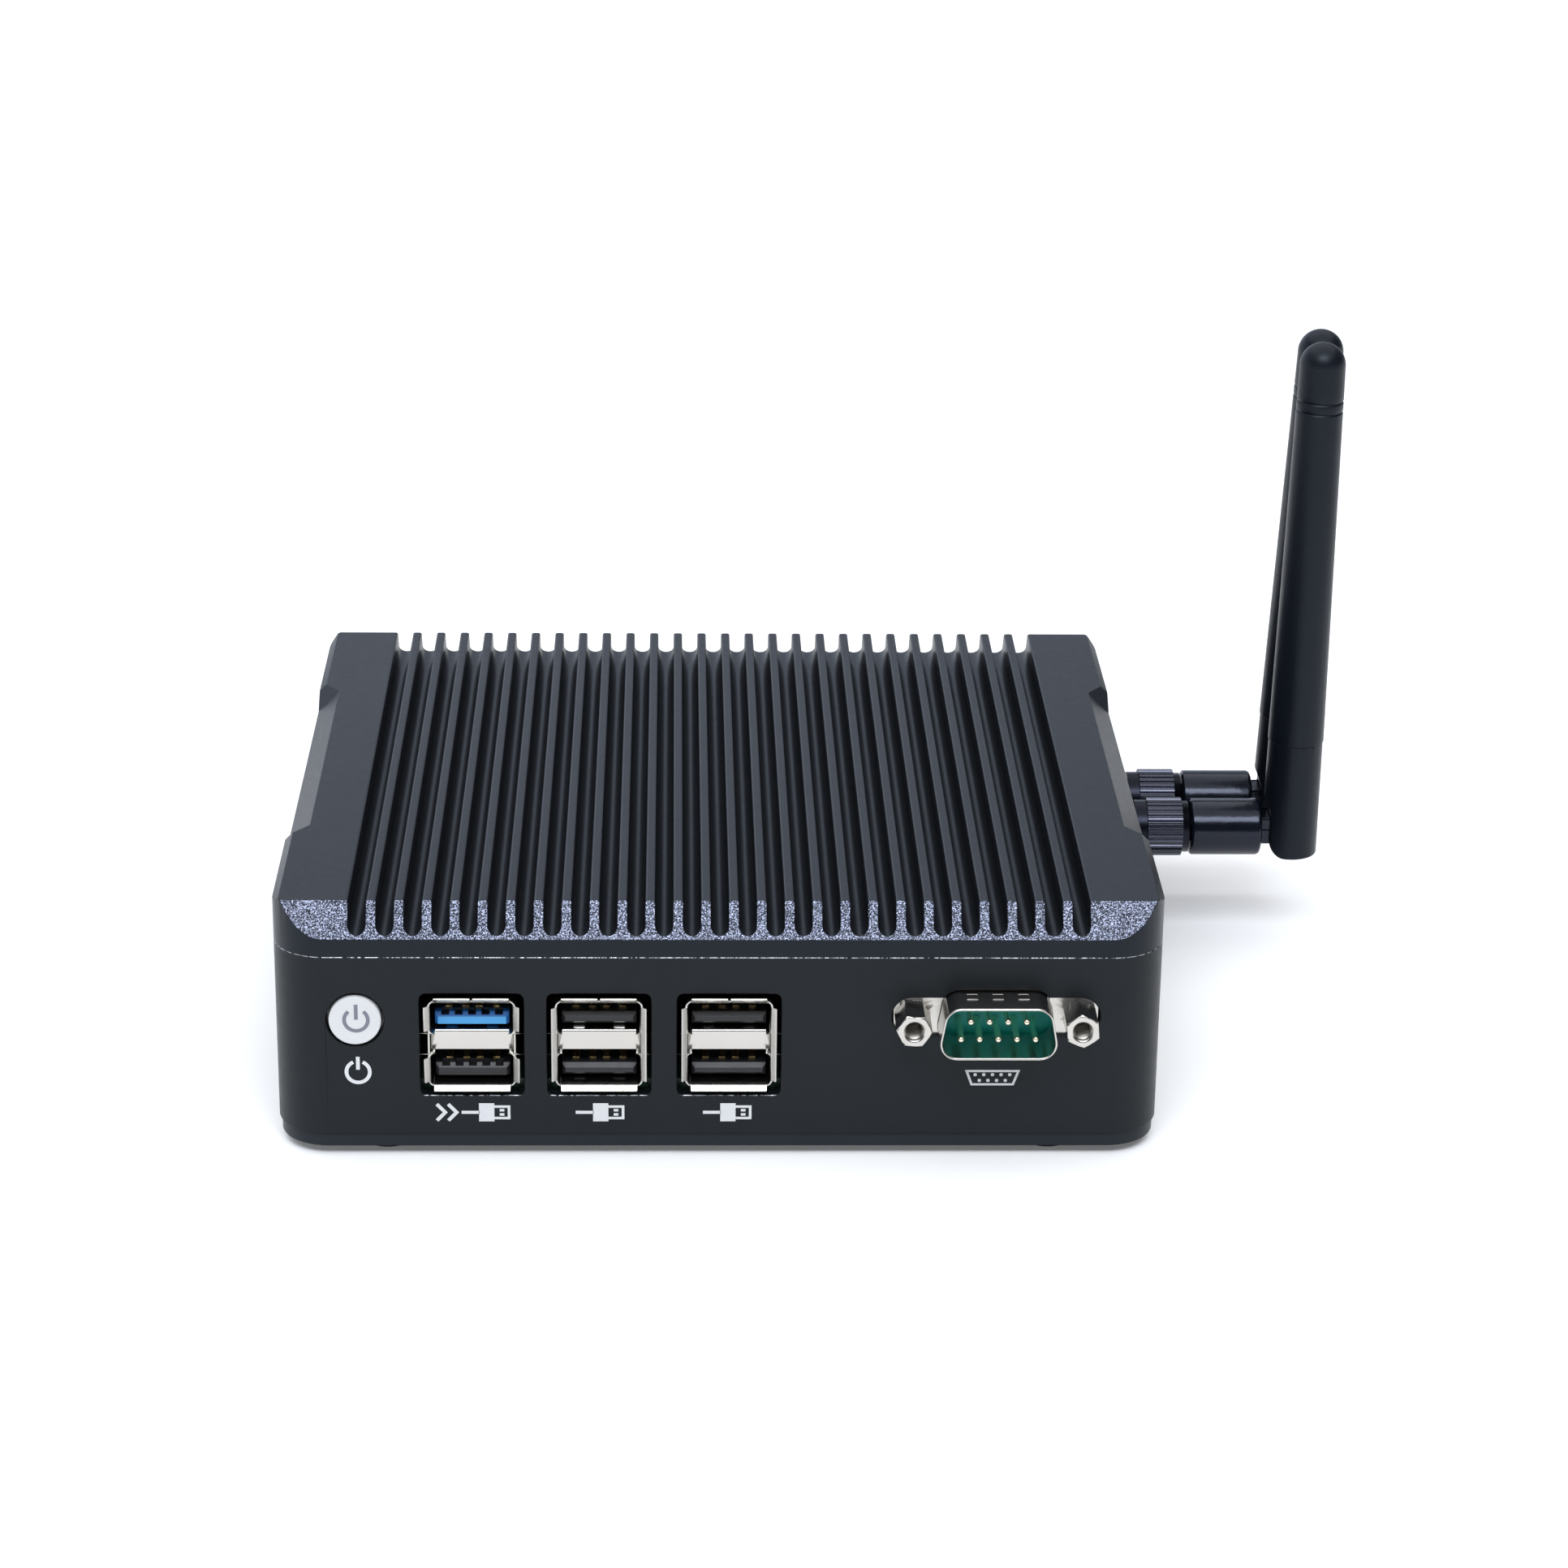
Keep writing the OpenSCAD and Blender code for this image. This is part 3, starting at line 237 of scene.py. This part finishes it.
class Look:
    """A Principled material, with short ways to add procedural texture to it."""

    def __init__(self, name, color, metallic=0.0, roughness=0.5, **sockets):
        self.mat = bpy.data.materials.new(name)
        self.mat.use_nodes = True
        self.tree = self.mat.node_tree
        self.bsdf = self.tree.nodes["Principled BSDF"]
        self.bsdf.inputs["Base Color"].default_value = (*color, 1)
        self.bsdf.inputs["Metallic"].default_value = metallic
        self.bsdf.inputs["Roughness"].default_value = roughness
        for socket, value in sockets.items():
            self.bsdf.inputs[socket.replace("_", " ")].default_value = value
        self.place = self.node("ShaderNodeTexCoord").outputs["Object"]
        self.normal = None

    def node(self, kind, **values):
        made = self.tree.nodes.new(kind)
        for key, value in values.items():
            setattr(made, key, value)
        return made

    def feed(self, socket, source):
        if isinstance(source, bpy.types.NodeSocket):
            self.tree.links.new(source, socket)
        else:
            socket.default_value = source

    def stretched(self, scale):
        """The object's coordinates, scaled by a different factor along each axis."""
        mapping = self.node("ShaderNodeMapping")
        self.feed(mapping.inputs["Vector"], self.place)
        mapping.inputs["Scale"].default_value = scale
        return mapping.outputs["Vector"]

    def noise(self, scale, detail=2.0, rough=0.5, vector=None):
        made = self.node("ShaderNodeTexNoise")
        self.feed(made.inputs["Vector"], vector or self.place)
        made.inputs["Scale"].default_value = scale
        made.inputs["Detail"].default_value = detail
        made.inputs["Roughness"].default_value = rough
        return made.outputs["Fac"]

    def curve(self, source, low, high, out_low=0.0, out_high=1.0):
        """Maps source from low..high to out_low..out_high, clamped."""
        made = self.node("ShaderNodeMapRange")
        self.feed(made.inputs["Value"], source)
        set_range(made, low, high, out_low, out_high)
        return made.outputs["Result"]

    def math(self, operation, a, b):
        made = self.node("ShaderNodeMath", operation=operation)
        self.feed(made.inputs[0], a)
        self.feed(made.inputs[1], b)
        return made.outputs[0]

    def tint(self, color_a, color_b, factor):
        """The base colour runs from color_a to color_b with factor."""
        mix = self.node("ShaderNodeMix", data_type="RGBA")
        self.feed(mix.inputs["Factor"], factor)
        for socket in mix.inputs:
            if socket.type == "RGBA":
                socket.default_value = (*(color_a if socket.identifier.startswith("A") else color_b), 1)
        result = [socket for socket in mix.outputs if socket.type == "RGBA"][0]
        self.feed(self.bsdf.inputs["Base Color"], result)

    def rough(self, low, high, factor):
        """The roughness runs from low to high with factor."""
        self.feed(self.bsdf.inputs["Roughness"], self.curve(factor, 0, 1, low, high))

    def soften(self, radius):
        """Edges catch the light as if they were rounded to this radius."""
        made = self.node("ShaderNodeBevel", samples=6)
        made.inputs["Radius"].default_value = radius
        self.normal = made.outputs["Normal"]
        self.feed(self.bsdf.inputs["Normal"], self.normal)

    def bump(self, height, distance, strength=1.0):
        made = self.node("ShaderNodeBump")
        self.feed(made.inputs["Height"], height)
        made.inputs["Distance"].default_value = distance
        made.inputs["Strength"].default_value = strength
        if self.normal is not None:
            self.feed(made.inputs["Normal"], self.normal)
        self.normal = made.outputs["Normal"]
        self.feed(self.bsdf.inputs["Normal"], self.normal)


def shade(color, factor):
    return tuple(min(1.0, c * factor) for c in color)


def anodised_lid():
    """Fine satin black anodising with a blue cast."""
    base = (0.0050, 0.0058, 0.0075)
    look = Look("anodised_lid", base, roughness=0.36,
                Specular_IOR_Level=0.275, Specular_Tint=(0.70, 0.84, 1.0, 1))
    look.tint(shade(base, 0.8), shade(base, 1.25), look.noise(60, 4))
    look.rough(0.32, 0.42, look.noise(900, 3))
    look.soften(0.12 * MM)
    look.bump(look.noise(5200, 2, 0.6), 0.010 * MM, 0.5)
    return look.mat


def blasted_bevel():
    """The bevels across the fin ends: milled, blasted and lightly dyed, so they sparkle."""
    base = (0.058, 0.063, 0.084)
    look = Look("blasted_bevel", base, metallic=0.85, roughness=0.45)
    glint = look.curve(look.noise(4300, 2, 0.8), 0.46, 0.62)
    look.tint(shade(base, 0.35), shade(base, 4.2), glint)
    look.rough(0.55, 0.28, glint)
    look.soften(0.10 * MM)
    look.bump(look.noise(2800, 3, 0.7), 0.06 * MM, 1.0)
    return look.mat


def worn_edge(name, base, bands):
    """Coated edges, worn to glinting metal within bands of height: the middle of each and half its width."""
    look = Look(name, base, metallic=0.6, roughness=0.4)
    height = look.node("ShaderNodeSeparateXYZ")
    look.feed(height.inputs[0], look.place)
    worn = 0.0
    for middle, half in bands:
        near = look.node("ShaderNodeMath", operation="COMPARE")
        look.feed(near.inputs[0], height.outputs["Z"])
        near.inputs[1].default_value = middle * MM
        near.inputs[2].default_value = half * MM
        worn = look.math("MAXIMUM", worn, near.outputs[0])
    glint = look.math("MULTIPLY", worn, look.curve(look.noise(1300, 4, 0.8), 0.44, 0.56))
    look.tint(shade(base, 0.3), (0.66, 0.67, 0.70), glint)
    look.rough(0.5, 0.25, glint)
    look.bump(look.noise(2200, 3, 0.7), 0.04 * MM, 0.9)
    return look.mat


def powder_coat(name, base, roughness=0.40, specular=0.25):
    """Satin black coating with a fine orange-peel surface."""
    look = Look(name, base, roughness=roughness,
                Specular_IOR_Level=specular, Specular_Tint=(0.84, 0.93, 1.0, 1))
    look.tint(shade(base, 0.75), shade(base, 1.3), look.noise(45, 4))
    look.rough(roughness - 0.05, roughness + 0.06, look.noise(600, 3))
    look.soften(0.12 * MM)
    look.bump(look.noise(2600, 2, 0.6), 0.012 * MM, 0.5)
    return look.mat


def plated(name, base, roughness=0.22, streak=(400, 400, 400), edge=0.06):
    """Plated metal with faint drawing marks and a slightly uneven tone."""
    look = Look(name, base, metallic=1.0, roughness=roughness)
    look.tint(shade(base, 0.92), shade(base, 1.05), look.noise(160, 4))
    marks = look.noise(6, 4, 0.6, look.stretched(streak))
    look.rough(roughness - 0.05, roughness + 0.10, marks)
    look.soften(edge * MM)
    look.bump(marks, 0.006 * MM, 0.35)
    return look.mat


def moulded(name, base, roughness=0.45, grain=2200, edge=0.10, depth=0.008,
            specular=0.5, cast=(1, 1, 1)):
    """Moulded plastic with a fine spark-eroded grain, whose reflections take on a cast."""
    look = Look(name, base, roughness=roughness, Specular_IOR_Level=specular, Specular_Tint=(*cast, 1))
    look.tint(shade(base, 0.88), shade(base, 1.15), look.noise(90, 3))
    look.rough(roughness - 0.05, roughness + 0.07, look.noise(700, 2))
    look.soften(edge * MM)
    look.bump(look.noise(grain, 2, 0.6), depth * MM, 0.6)
    return look.mat


def circuit_board():
    """Near-black solder mask over copper tracks, which show as a lighter net of lines."""
    base = (0.004, 0.016, 0.010)
    look = Look("circuit_board", base, roughness=0.35, Coat_Weight=0.2)
    brick = look.node("ShaderNodeTexBrick")
    look.feed(brick.inputs["Vector"], look.place)
    brick.inputs["Scale"].default_value = 420
    brick.inputs["Mortar Size"].default_value = 0.035
    look.tint(base, (0.010, 0.045, 0.026), brick.outputs["Fac"])
    look.bump(brick.outputs["Fac"], 0.03 * MM, 0.6)
    return look.mat


def shaded_tongue(name, base):
    """The blue contact tongue, whose colour sinks into shadow behind its front edge."""
    look = Look(name, base, roughness=0.38)
    depth = look.node("ShaderNodeSeparateXYZ")
    look.feed(depth.inputs[0], look.place)
    look.tint(base, shade(base, 0.06), look.curve(depth.outputs["Y"], -60.2 * MM, -59.2 * MM))
    look.bump(look.noise(2200, 2), 0.004 * MM, 0.5)
    return look.mat


def printed(name, base):
    """Screen-printed ink, a little uneven in cover."""
    look = Look(name, base, roughness=0.55)
    look.tint(shade(base, 0.90), base, look.noise(2500, 3))
    look.bump(look.noise(4000, 2), 0.004 * MM, 0.5)
    return look.mat


MATERIALS = {
    "anodised_lid": anodised_lid(),
    "black_frame": powder_coat("black_frame", (0.0060, 0.0070, 0.0082), 0.42),
    "black_plate": powder_coat("black_plate", (0.0095, 0.0130, 0.0165), 0.40),
    "foot_rubber": moulded("foot_rubber", (0.012, 0.012, 0.013), 0.75, 1500, 0.2, 0.02),
    "black_screw": plated("black_screw", (0.05, 0.05, 0.055), 0.35),
    "white_button": moulded("white_button", (0.64, 0.645, 0.65), 0.30, 3000, 0.25, 0.002),
    "black_plastic": moulded("black_plastic", (0.010, 0.010, 0.012), 0.40),
    "blue_plastic": shaded_tongue("blue_plastic", (0.012, 0.13, 0.42)),
    "teal_plastic": moulded("teal_plastic", (0.004, 0.40, 0.35), 0.33),
    "bright_nickel": plated("bright_nickel", (0.57, 0.55, 0.515), 0.18),
    "nickel": plated("nickel", (0.60, 0.59, 0.56), 0.30),
    "gold_contact": plated("gold_contact", (0.86, 0.62, 0.26), 0.22, edge=0.04),
    "brass": plated("brass", (0.72, 0.52, 0.22), 0.25),
    "circuit_board": circuit_board(),
    "dark_package": moulded("dark_package", (0.03, 0.03, 0.034), 0.5),
    "thermal_pad": moulded("thermal_pad", (0.26, 0.30, 0.32), 0.7),
    "bare_aluminium": plated("bare_aluminium", (0.72, 0.73, 0.75), 0.32, (900, 60, 400)),
    "cable_sheath": moulded("cable_sheath", (0.02, 0.02, 0.02), 0.45),
    "gunmetal": plated("gunmetal", (0.060, 0.062, 0.080), 0.24, (60, 900, 900), 0.05),
    "antenna_base": moulded(
        "antenna_base", (0.002, 0.003, 0.006), 0.18, 1300, 0.15, 0.035, 0.40, (0.74, 0.80, 1.0)),
    "antenna_rubber": moulded(
        "antenna_rubber", (0.003, 0.0042, 0.0075), 0.38, 1800, 0.12, 0.010, 0.26, (0.80, 0.90, 1.0)),
}
BEVEL_LOOK = blasted_bevel()
WORN_BANDS = ((32.65, 0.07), (3.65, 0.07), (10.10, 0.06))
SEAM_LOOK = worn_edge("worn_seam", (0.020, 0.022, 0.026), WORN_BANDS)
COLLAR_LOOK = plated("dark_collar", (0.016, 0.017, 0.024), 0.28)
# The notches in the blue tongue are painted dark blue: painted shade in their hollows.
NOTCH_PAINTED_SHADE_LOOK = moulded("shaded_hollow", (0.004, 0.010, 0.024), 0.5)
# A lighter copy of the tongue's blue for its front face: painted light where that face turns towards the
# lamps.
BLUE_PAINTED_LIT_FRONT_LOOK = moulded("blue_painted_lit_front", (0.05, 0.30, 0.62), 0.38)
PIN_LOOK = plated("pin_gold", (0.94, 0.86, 0.66), 0.20, edge=0.04)
WHITE_INK = printed("white_ink", (0.70, 0.71, 0.72))
GREY_INK = printed("grey_ink", (0.19, 0.195, 0.235))
LENS_LOOKS = (
    moulded("green_lens", (0.10, 0.42, 0.14), 0.25),
    moulded("amber_lens", (0.62, 0.34, 0.05), 0.25),
)


# ---------- finished copies of CAD nodes ----------

def link_piece(name, mesh, body):
    """Adds a mesh to the scene as a piece of a body."""
    piece = bpy.data.objects.new(name, mesh)
    bpy.context.scene.collection.objects.link(piece)
    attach(piece, body)
    return piece


def piece_of(shape, name, body, look):
    """Turns a bmesh into a piece of a body, in one material."""
    bmesh.ops.recalc_face_normals(shape, faces=shape.faces)
    mesh = bpy.data.meshes.new(name)
    shape.to_mesh(mesh)
    shape.free()
    mesh.materials.append(look)
    return link_piece(name, mesh, body)


def look_of(node):
    """A CAD node's material: its slot's, but for the rubber knuckles and the serial port's pale pins."""
    if node == "com_pins":
        return PIN_LOOK
    return MATERIALS["antenna_rubber" if node.endswith("_knuckle") else SLOT_OF[node]]


def finished(node, edge, segments=2, looks=(), seam=None, width_at=None, merge=True):
    """A copy of a CAD node with welded faces and truly rounded edges, which stands for the node.

    looks holds pairs of a test, of a face's middle in millimetres and its normal, and the look of the
    faces that pass it. The rounded edges get the seam look, and width_at gives another width for
    some. Flat faces are merged unless merge is off, as it is where a face has holes close together.
    """
    source = NODES[node]
    mesh = source.data.copy()
    mesh.materials.clear()
    for look in [look_of(node)] + [look for test, look in looks] + ([seam] if seam else []):
        mesh.materials.append(look)
    shape = bmesh.new()
    shape.from_mesh(mesh)
    bmesh.ops.remove_doubles(shape, verts=shape.verts, dist=0.002 * MM)
    if merge:
        bmesh.ops.dissolve_limit(
            shape, angle_limit=math.radians(0.4), use_dissolve_boundaries=False,
            verts=shape.verts, edges=shape.edges
        )
    shape.normal_update()
    for face in shape.faces:
        face.smooth = True
        middle = face.calc_center_median() / MM
        passed = [k + 1 for k, (test, look) in enumerate(looks) if test(middle, face.normal)]
        face.material_index = passed[0] if passed else 0
    widths = shape.edges.layers.float.new("bevel_weight_edge")
    for item in shape.edges:
        if len(item.link_faces) == 2 and item.calc_face_angle() > math.radians(32):
            special = width_at((item.verts[0].co + item.verts[1].co) / (2 * MM)) if width_at else None
            item[widths] = edge if special is None else special
            item.smooth = item[widths] > 0
    most = max(item[widths] for item in shape.edges)
    for item in shape.edges:
        item[widths] /= most
    shape.to_mesh(mesh)
    shape.free()
    piece = link_piece(node + "_finish", mesh, source["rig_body"])
    bevel = piece.modifiers.new("edges", "BEVEL")
    bevel.width = most * MM
    bevel.segments = segments
    bevel.limit_method = "WEIGHT"
    bevel.use_clamp_overlap = False
    bevel.harden_normals = False
    if seam:
        bevel.material = len(mesh.materials) - 1
    normals = piece.modifiers.new("normals", "WEIGHTED_NORMAL")
    normals.keep_sharp = True
    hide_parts(node)


def is_end_bevel(at, normal):
    """True for the sloping faces across the front and rear ends of the fins."""
    return abs(normal.x) < 0.02 and 0.4 < normal.z < 0.7 and abs(normal.y) > 0.7


def is_collar(at, normal):
    """True for the plain collars at both ends of a coupling nut."""
    return not KNURL[0] < at.x < KNURL[1]


def is_front(at, normal):
    """True for the front face of a contact tongue."""
    return normal.y < -0.9 and at.y < TONGUE_FRONT_Y


def is_notch(at, normal):
    """True for the floor and the walls of the notches in the blue tongue."""
    is_chamfer = normal.y < -0.5 and normal.z > 0.5
    in_height = NOTCH_HEIGHTS[0] < at.z < NOTCH_HEIGHTS[1]
    return TONGUE_FRONT_Y < at.y < NOTCH_BACK_Y and in_height and not is_chamfer


def usb_edge(at):
    """A wider rounding on the upper front edge of the bar between a stack's ports, and none beside it."""
    beside = min(abs(abs(at.x - x) - USB_BAR_HALF) for x in USB_AT)
    if at.y > USB_LIPS_Y and USB_BAR_HEIGHTS[0] < at.z < USB_BAR_HEIGHTS[1] and beside < 0.2:
        return 0
    on_top_edge = abs(at.y - USB_BAR_Y) < 0.1 and USB_BAR_TOP[0] < at.z < USB_BAR_TOP[1]
    return USB_BAR_ROUNDING if on_top_edge else None


def jackscrew_edge(at):
    """A countersink at the mouth of a jackscrew's bore."""
    along = abs(at.x - SERIAL_AT[0]) - JACKSCREW_PITCH / 2
    from_axis = math.hypot(along, at.z - SERIAL_AT[1])
    return COUNTERSINK if at.y < JACKSCREW_END_Y and from_axis < JACKSCREW_RIM else None


def finish_nodes():
    """Rounds the edges of the pieces that show, and gives every CAD node its material."""
    finished("top_heatsink", 0.10, looks=[(is_end_bevel, BEVEL_LOOK)])
    finished("mid_frame", 0.16, seam=SEAM_LOOK)
    finished("bottom_plate", 0.16, seam=SEAM_LOOK)
    finished("power_button", 0.22, 3)
    finished("com_shell", 0.16, merge=False)
    finished("com_jackscrews", 0.10, width_at=jackscrew_edge)
    finished("rubber_feet", 0.15)
    finished("case_screws", 0.08)
    # On the blue tongue, the front face gets a painted lit blue and the notches a painted shade.
    finished("usb_left_blue_tongue", 0.05, looks=[(is_front, BLUE_PAINTED_LIT_FRONT_LOOK), (is_notch, NOTCH_PAINTED_SHADE_LOOK)])
    for stack in USB_STACKS:
        finished(f"usb_{stack}_shell", 0.09, 3, width_at=usb_edge, merge=False)
    for antenna in ANTENNAS:
        finished(f"{antenna}_antenna_barrel", 0.12)
        finished(f"{antenna}_antenna_knuckle", 0.14)
        finished(f"{antenna}_antenna_whip", 0.10)
        finished(f"{antenna}_coupling_nut", 0.04, 1, looks=[(is_collar, COLLAR_LOOK)])
    for node, item in NODES.items():
        item.data.materials.clear()
        item.data.materials.append(look_of(node))


# ---------- small formed parts ----------

class Plates:
    """Thin formed parts, in millimetres, gathered into one mesh."""

    def __init__(self):
        self.shape = bmesh.new()

    def bent(self, side, start, width):
        """A strip from start on, of even width, whose side view in Y and Z is a closed outline."""
        flat = [self.shape.verts.new((start * MM, y * MM, z * MM)) for y, z in side]
        face = self.shape.faces.new(flat)
        made = bmesh.ops.extrude_face_region(self.shape, geom=[face])
        for item in made["geom"]:
            if isinstance(item, bmesh.types.BMVert):
                item.co.x += width * MM

    def place(self, name, look, slot, edge):
        """Lays the strips on the case, with their edges rounded to a width in millimetres."""
        for item in self.shape.faces:
            item.smooth = True
        piece = piece_of(self.shape, name, CASE, look)
        bevel = piece.modifiers.new("edges", "BEVEL")
        bevel.width = edge * MM
        bevel.segments = 2
        bevel.limit_method = "ANGLE"
        bevel.angle_limit = math.radians(40)
        piece.modifiers.new("normals", "WEIGHTED_NORMAL")


def usb_springs():
    """The springs in the floors of the ports: each rises to a crest near the port's mouth."""
    for stack, x, crests in zip(USB_STACKS, USB_AT, SPRING_CRESTS):
        springs = Plates()
        for floor, crest in zip(USB_FLOORS, crests):
            side = [(-61.2, floor - 0.03), (-60.8, floor + 0.6 * crest), (-60.3, floor + crest),
                    (-59.7, floor + 0.9 * crest), (-56.5, floor + 0.1 * crest), (-55.5, floor - 0.03)]
            for shift in SPRING_SHIFTS:
                springs.bent(side, x + shift - SPRING_SIDE, SPRING_WIDTH)
        springs.place(f"usb_{stack}_springs", MATERIALS["bright_nickel"], "bright_nickel", 0.05)


def thread_rings():
    """The crests of the thread in each jackscrew's bore."""
    shape = bmesh.new()
    sides = 40
    section = ((-THREAD_HALF, THREAD_ROOT), (0, THREAD_CREST), (THREAD_HALF, THREAD_ROOT))
    for screw in (-1, 1):
        x = SERIAL_AT[0] + screw * JACKSCREW_PITCH / 2
        for turn in range(THREAD_TURNS):
            y = THREAD_START_Y + THREAD_PITCH * turn
            rings = []
            for shift, radius in section:
                rings.append([shape.verts.new((
                    (x + radius * math.cos(2 * math.pi * k / sides)) * MM, (y + shift) * MM,
                    (SERIAL_AT[1] + radius * math.sin(2 * math.pi * k / sides)) * MM)) for k in range(sides)])
            for near, far in zip(rings, rings[1:] + rings[:1]):
                for k in range(sides):
                    shape.faces.new((near[k], near[(k + 1) % sides], far[(k + 1) % sides], far[k]))
    piece_of(shape, "jackscrew_threads", CASE, MATERIALS["bright_nickel"])


def lan_details():
    """Contact wires inside the mouth of each network socket, and a pair of lenses above it."""
    wires = Plates()
    for x in LAN_AT:
        for k in range(WIRES):
            side = [(62.0, 23.1), (62.0, 22.85), (53.0, 19.6), (52.6, 19.8), (52.6, 20.1)]
            wires.bent(side, x + WIRE_PITCH * (k - (WIRES - 1) / 2) - WIRE_WIDTH / 2, WIRE_WIDTH)
    wires.place("lan_wires", MATERIALS["gold_contact"], "gold_contact", 0.04)
    for look, shift, name in zip(LENS_LOOKS, LENS_SHIFTS, ("lan_green_lenses", "lan_amber_lenses")):
        lenses = Plates()
        for x in LAN_AT:
            side = [(63.0, 23.75), (LENS_FACE_Y, 23.75), (LENS_FACE_Y, 24.85), (63.0, 24.85)]
            lenses.bent(side, x + shift - LENS_WIDTH / 2, LENS_WIDTH)
        lenses.place(name, look, "black_plastic", 0.005)


# ---------- printed marks ----------

class Ink:
    """Flat ink drawn in millimetres, across and up, on a face that looks towards -Y."""

    def __init__(self):
        self.shape = bmesh.new()

    def face(self, points):
        self.shape.faces.new([self.shape.verts.new((x * MM, 0, z * MM)) for x, z in points])

    def dot(self, x, z, radius, sides=20):
        turns = [2 * math.pi * k / sides for k in range(sides)]
        self.face([(x + radius * math.cos(a), z + radius * math.sin(a)) for a in turns])

    def block(self, x0, z0, x1, z1):
        self.face([(x0, z0), (x1, z0), (x1, z1), (x0, z1)])

    def line(self, points, width):
        """A stroke of even width through the points, with mitred corners."""
        sides = []
        for k, point in enumerate(points):
            here = Vector(point)
            before = (here - Vector(points[k - 1])).normalized() if k else None
            after = (Vector(points[k + 1]) - here).normalized() if k + 1 < len(points) else None
            ahead = ((before or after) + (after or before)).normalized()
            across = Vector((-ahead.y, ahead.x)) * width / 2 / max(0.5, ahead.dot(after or before))
            sides.append((here - across, here + across))
        for (a, b), (c, d) in zip(sides, sides[1:]):
            self.face([a, c, d, b])

    def ring(self, x, z, radius, width, gap):
        """An open ring, whose gap of that many degrees is at the top."""
        start = math.radians(90 + gap / 2)
        sweep = math.radians(360 - gap)
        turns = [start + sweep * k / 40 for k in range(41)]
        self.line([(x + radius * math.cos(a), z + radius * math.sin(a)) for a in turns], width)

    def place(self, name, at, body, look, slot):
        """Gives the ink its thickness and lays it on a body, with its back at the point in millimetres."""
        flat = bmesh.ops.extrude_face_region(self.shape, geom=self.shape.faces[:])
        for item in flat["geom"]:
            if isinstance(item, bmesh.types.BMVert):
                item.co.y -= INK_THICK * MM
        for vert in self.shape.verts:
            vert.co += Vector(at) * MM
        piece_of(self.shape, name, body, look)


def power_symbol(radius, width, gap, bar):
    """The usual open ring with a bar: bar is how far the bar reaches below and above the middle."""
    ink = Ink()
    ink.ring(0, 0, radius, width, gap)
    ink.line([(0, bar[0]), (0, bar[1])], width)
    return ink


def plug_symbol(chevrons):
    """A plug on the end of its cable, with two chevrons in front of it for the fast port."""
    ink = Ink()
    shift = 1.9 if chevrons else 0
    for k in range(2 if chevrons else 0):
        x = -5.4 + 1.7 * k
        ink.line([(x, 1.35), (x + 1.25, 0), (x, -1.35)], 0.55)
    ink.line([(shift - 3.6, 0), (shift - 0.9, 0)], 0.5)
    ink.block(shift - 1.0, -1.5, shift + 1.3, 1.5)
    ink.line([(shift + 1.3, 0.95), (shift + 3.5, 0.95), (shift + 3.5, -0.95), (shift + 1.3, -0.95)], 0.4)
    ink.block(shift + 2.1, 0.15, shift + 2.8, 0.55)
    ink.block(shift + 2.1, -0.55, shift + 2.8, -0.15)
    return ink


def serial_symbol():
    """The outline of a nine-pin connector with its pins."""
    ink = Ink()
    ink.line([(-3.9, 1.05), (3.9, 1.05), (3.1, -1.15), (-3.1, -1.15), (-3.9, 1.05), (-3.8, 1.05)], 0.36)
    for k in range(5):
        ink.dot(-2.6 + 1.3 * k, 0.45, 0.27)
    for k in range(4):
        ink.dot(-1.95 + 1.3 * k, -0.5, 0.27)
    return ink


def print_marks():
    """White marks on the panel, and a grey one on the button's cap."""
    cap = NODES["power_button"]["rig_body"]
    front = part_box("mid_frame")[0].y / MM
    cap_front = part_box("power_button")[0].y / MM
    power_symbol(1.76, 0.58, 78, (0.05, 2.5)).place(
        "cap_mark", (BUTTON_AT[0] + CAP_MARK_SHIFT[0], cap_front, BUTTON_AT[1] + CAP_MARK_SHIFT[1]),
        cap, GREY_INK, "white_button")
    power_symbol(1.74, 0.56, 48, (0.36, 2.48)).place(
        "power_mark", (POWER_MARK_AT[0], front, POWER_MARK_AT[1]), CASE, WHITE_INK, "black_frame")
    for stack, x in zip(USB_STACKS, USB_MARK_X):
        plug_symbol(stack == "left").place(
            f"usb_{stack}_mark", (x, front, USB_MARK_Z), CASE, WHITE_INK, "black_frame")
    serial_symbol().place(
        "serial_mark", (SERIAL_MARK_AT[0], front, SERIAL_MARK_AT[1]), CASE, WHITE_INK, "black_frame")


make_camera()
make_studio()
make_room()
finish_nodes()
usb_springs()
thread_rings()
lan_details()
print_marks()
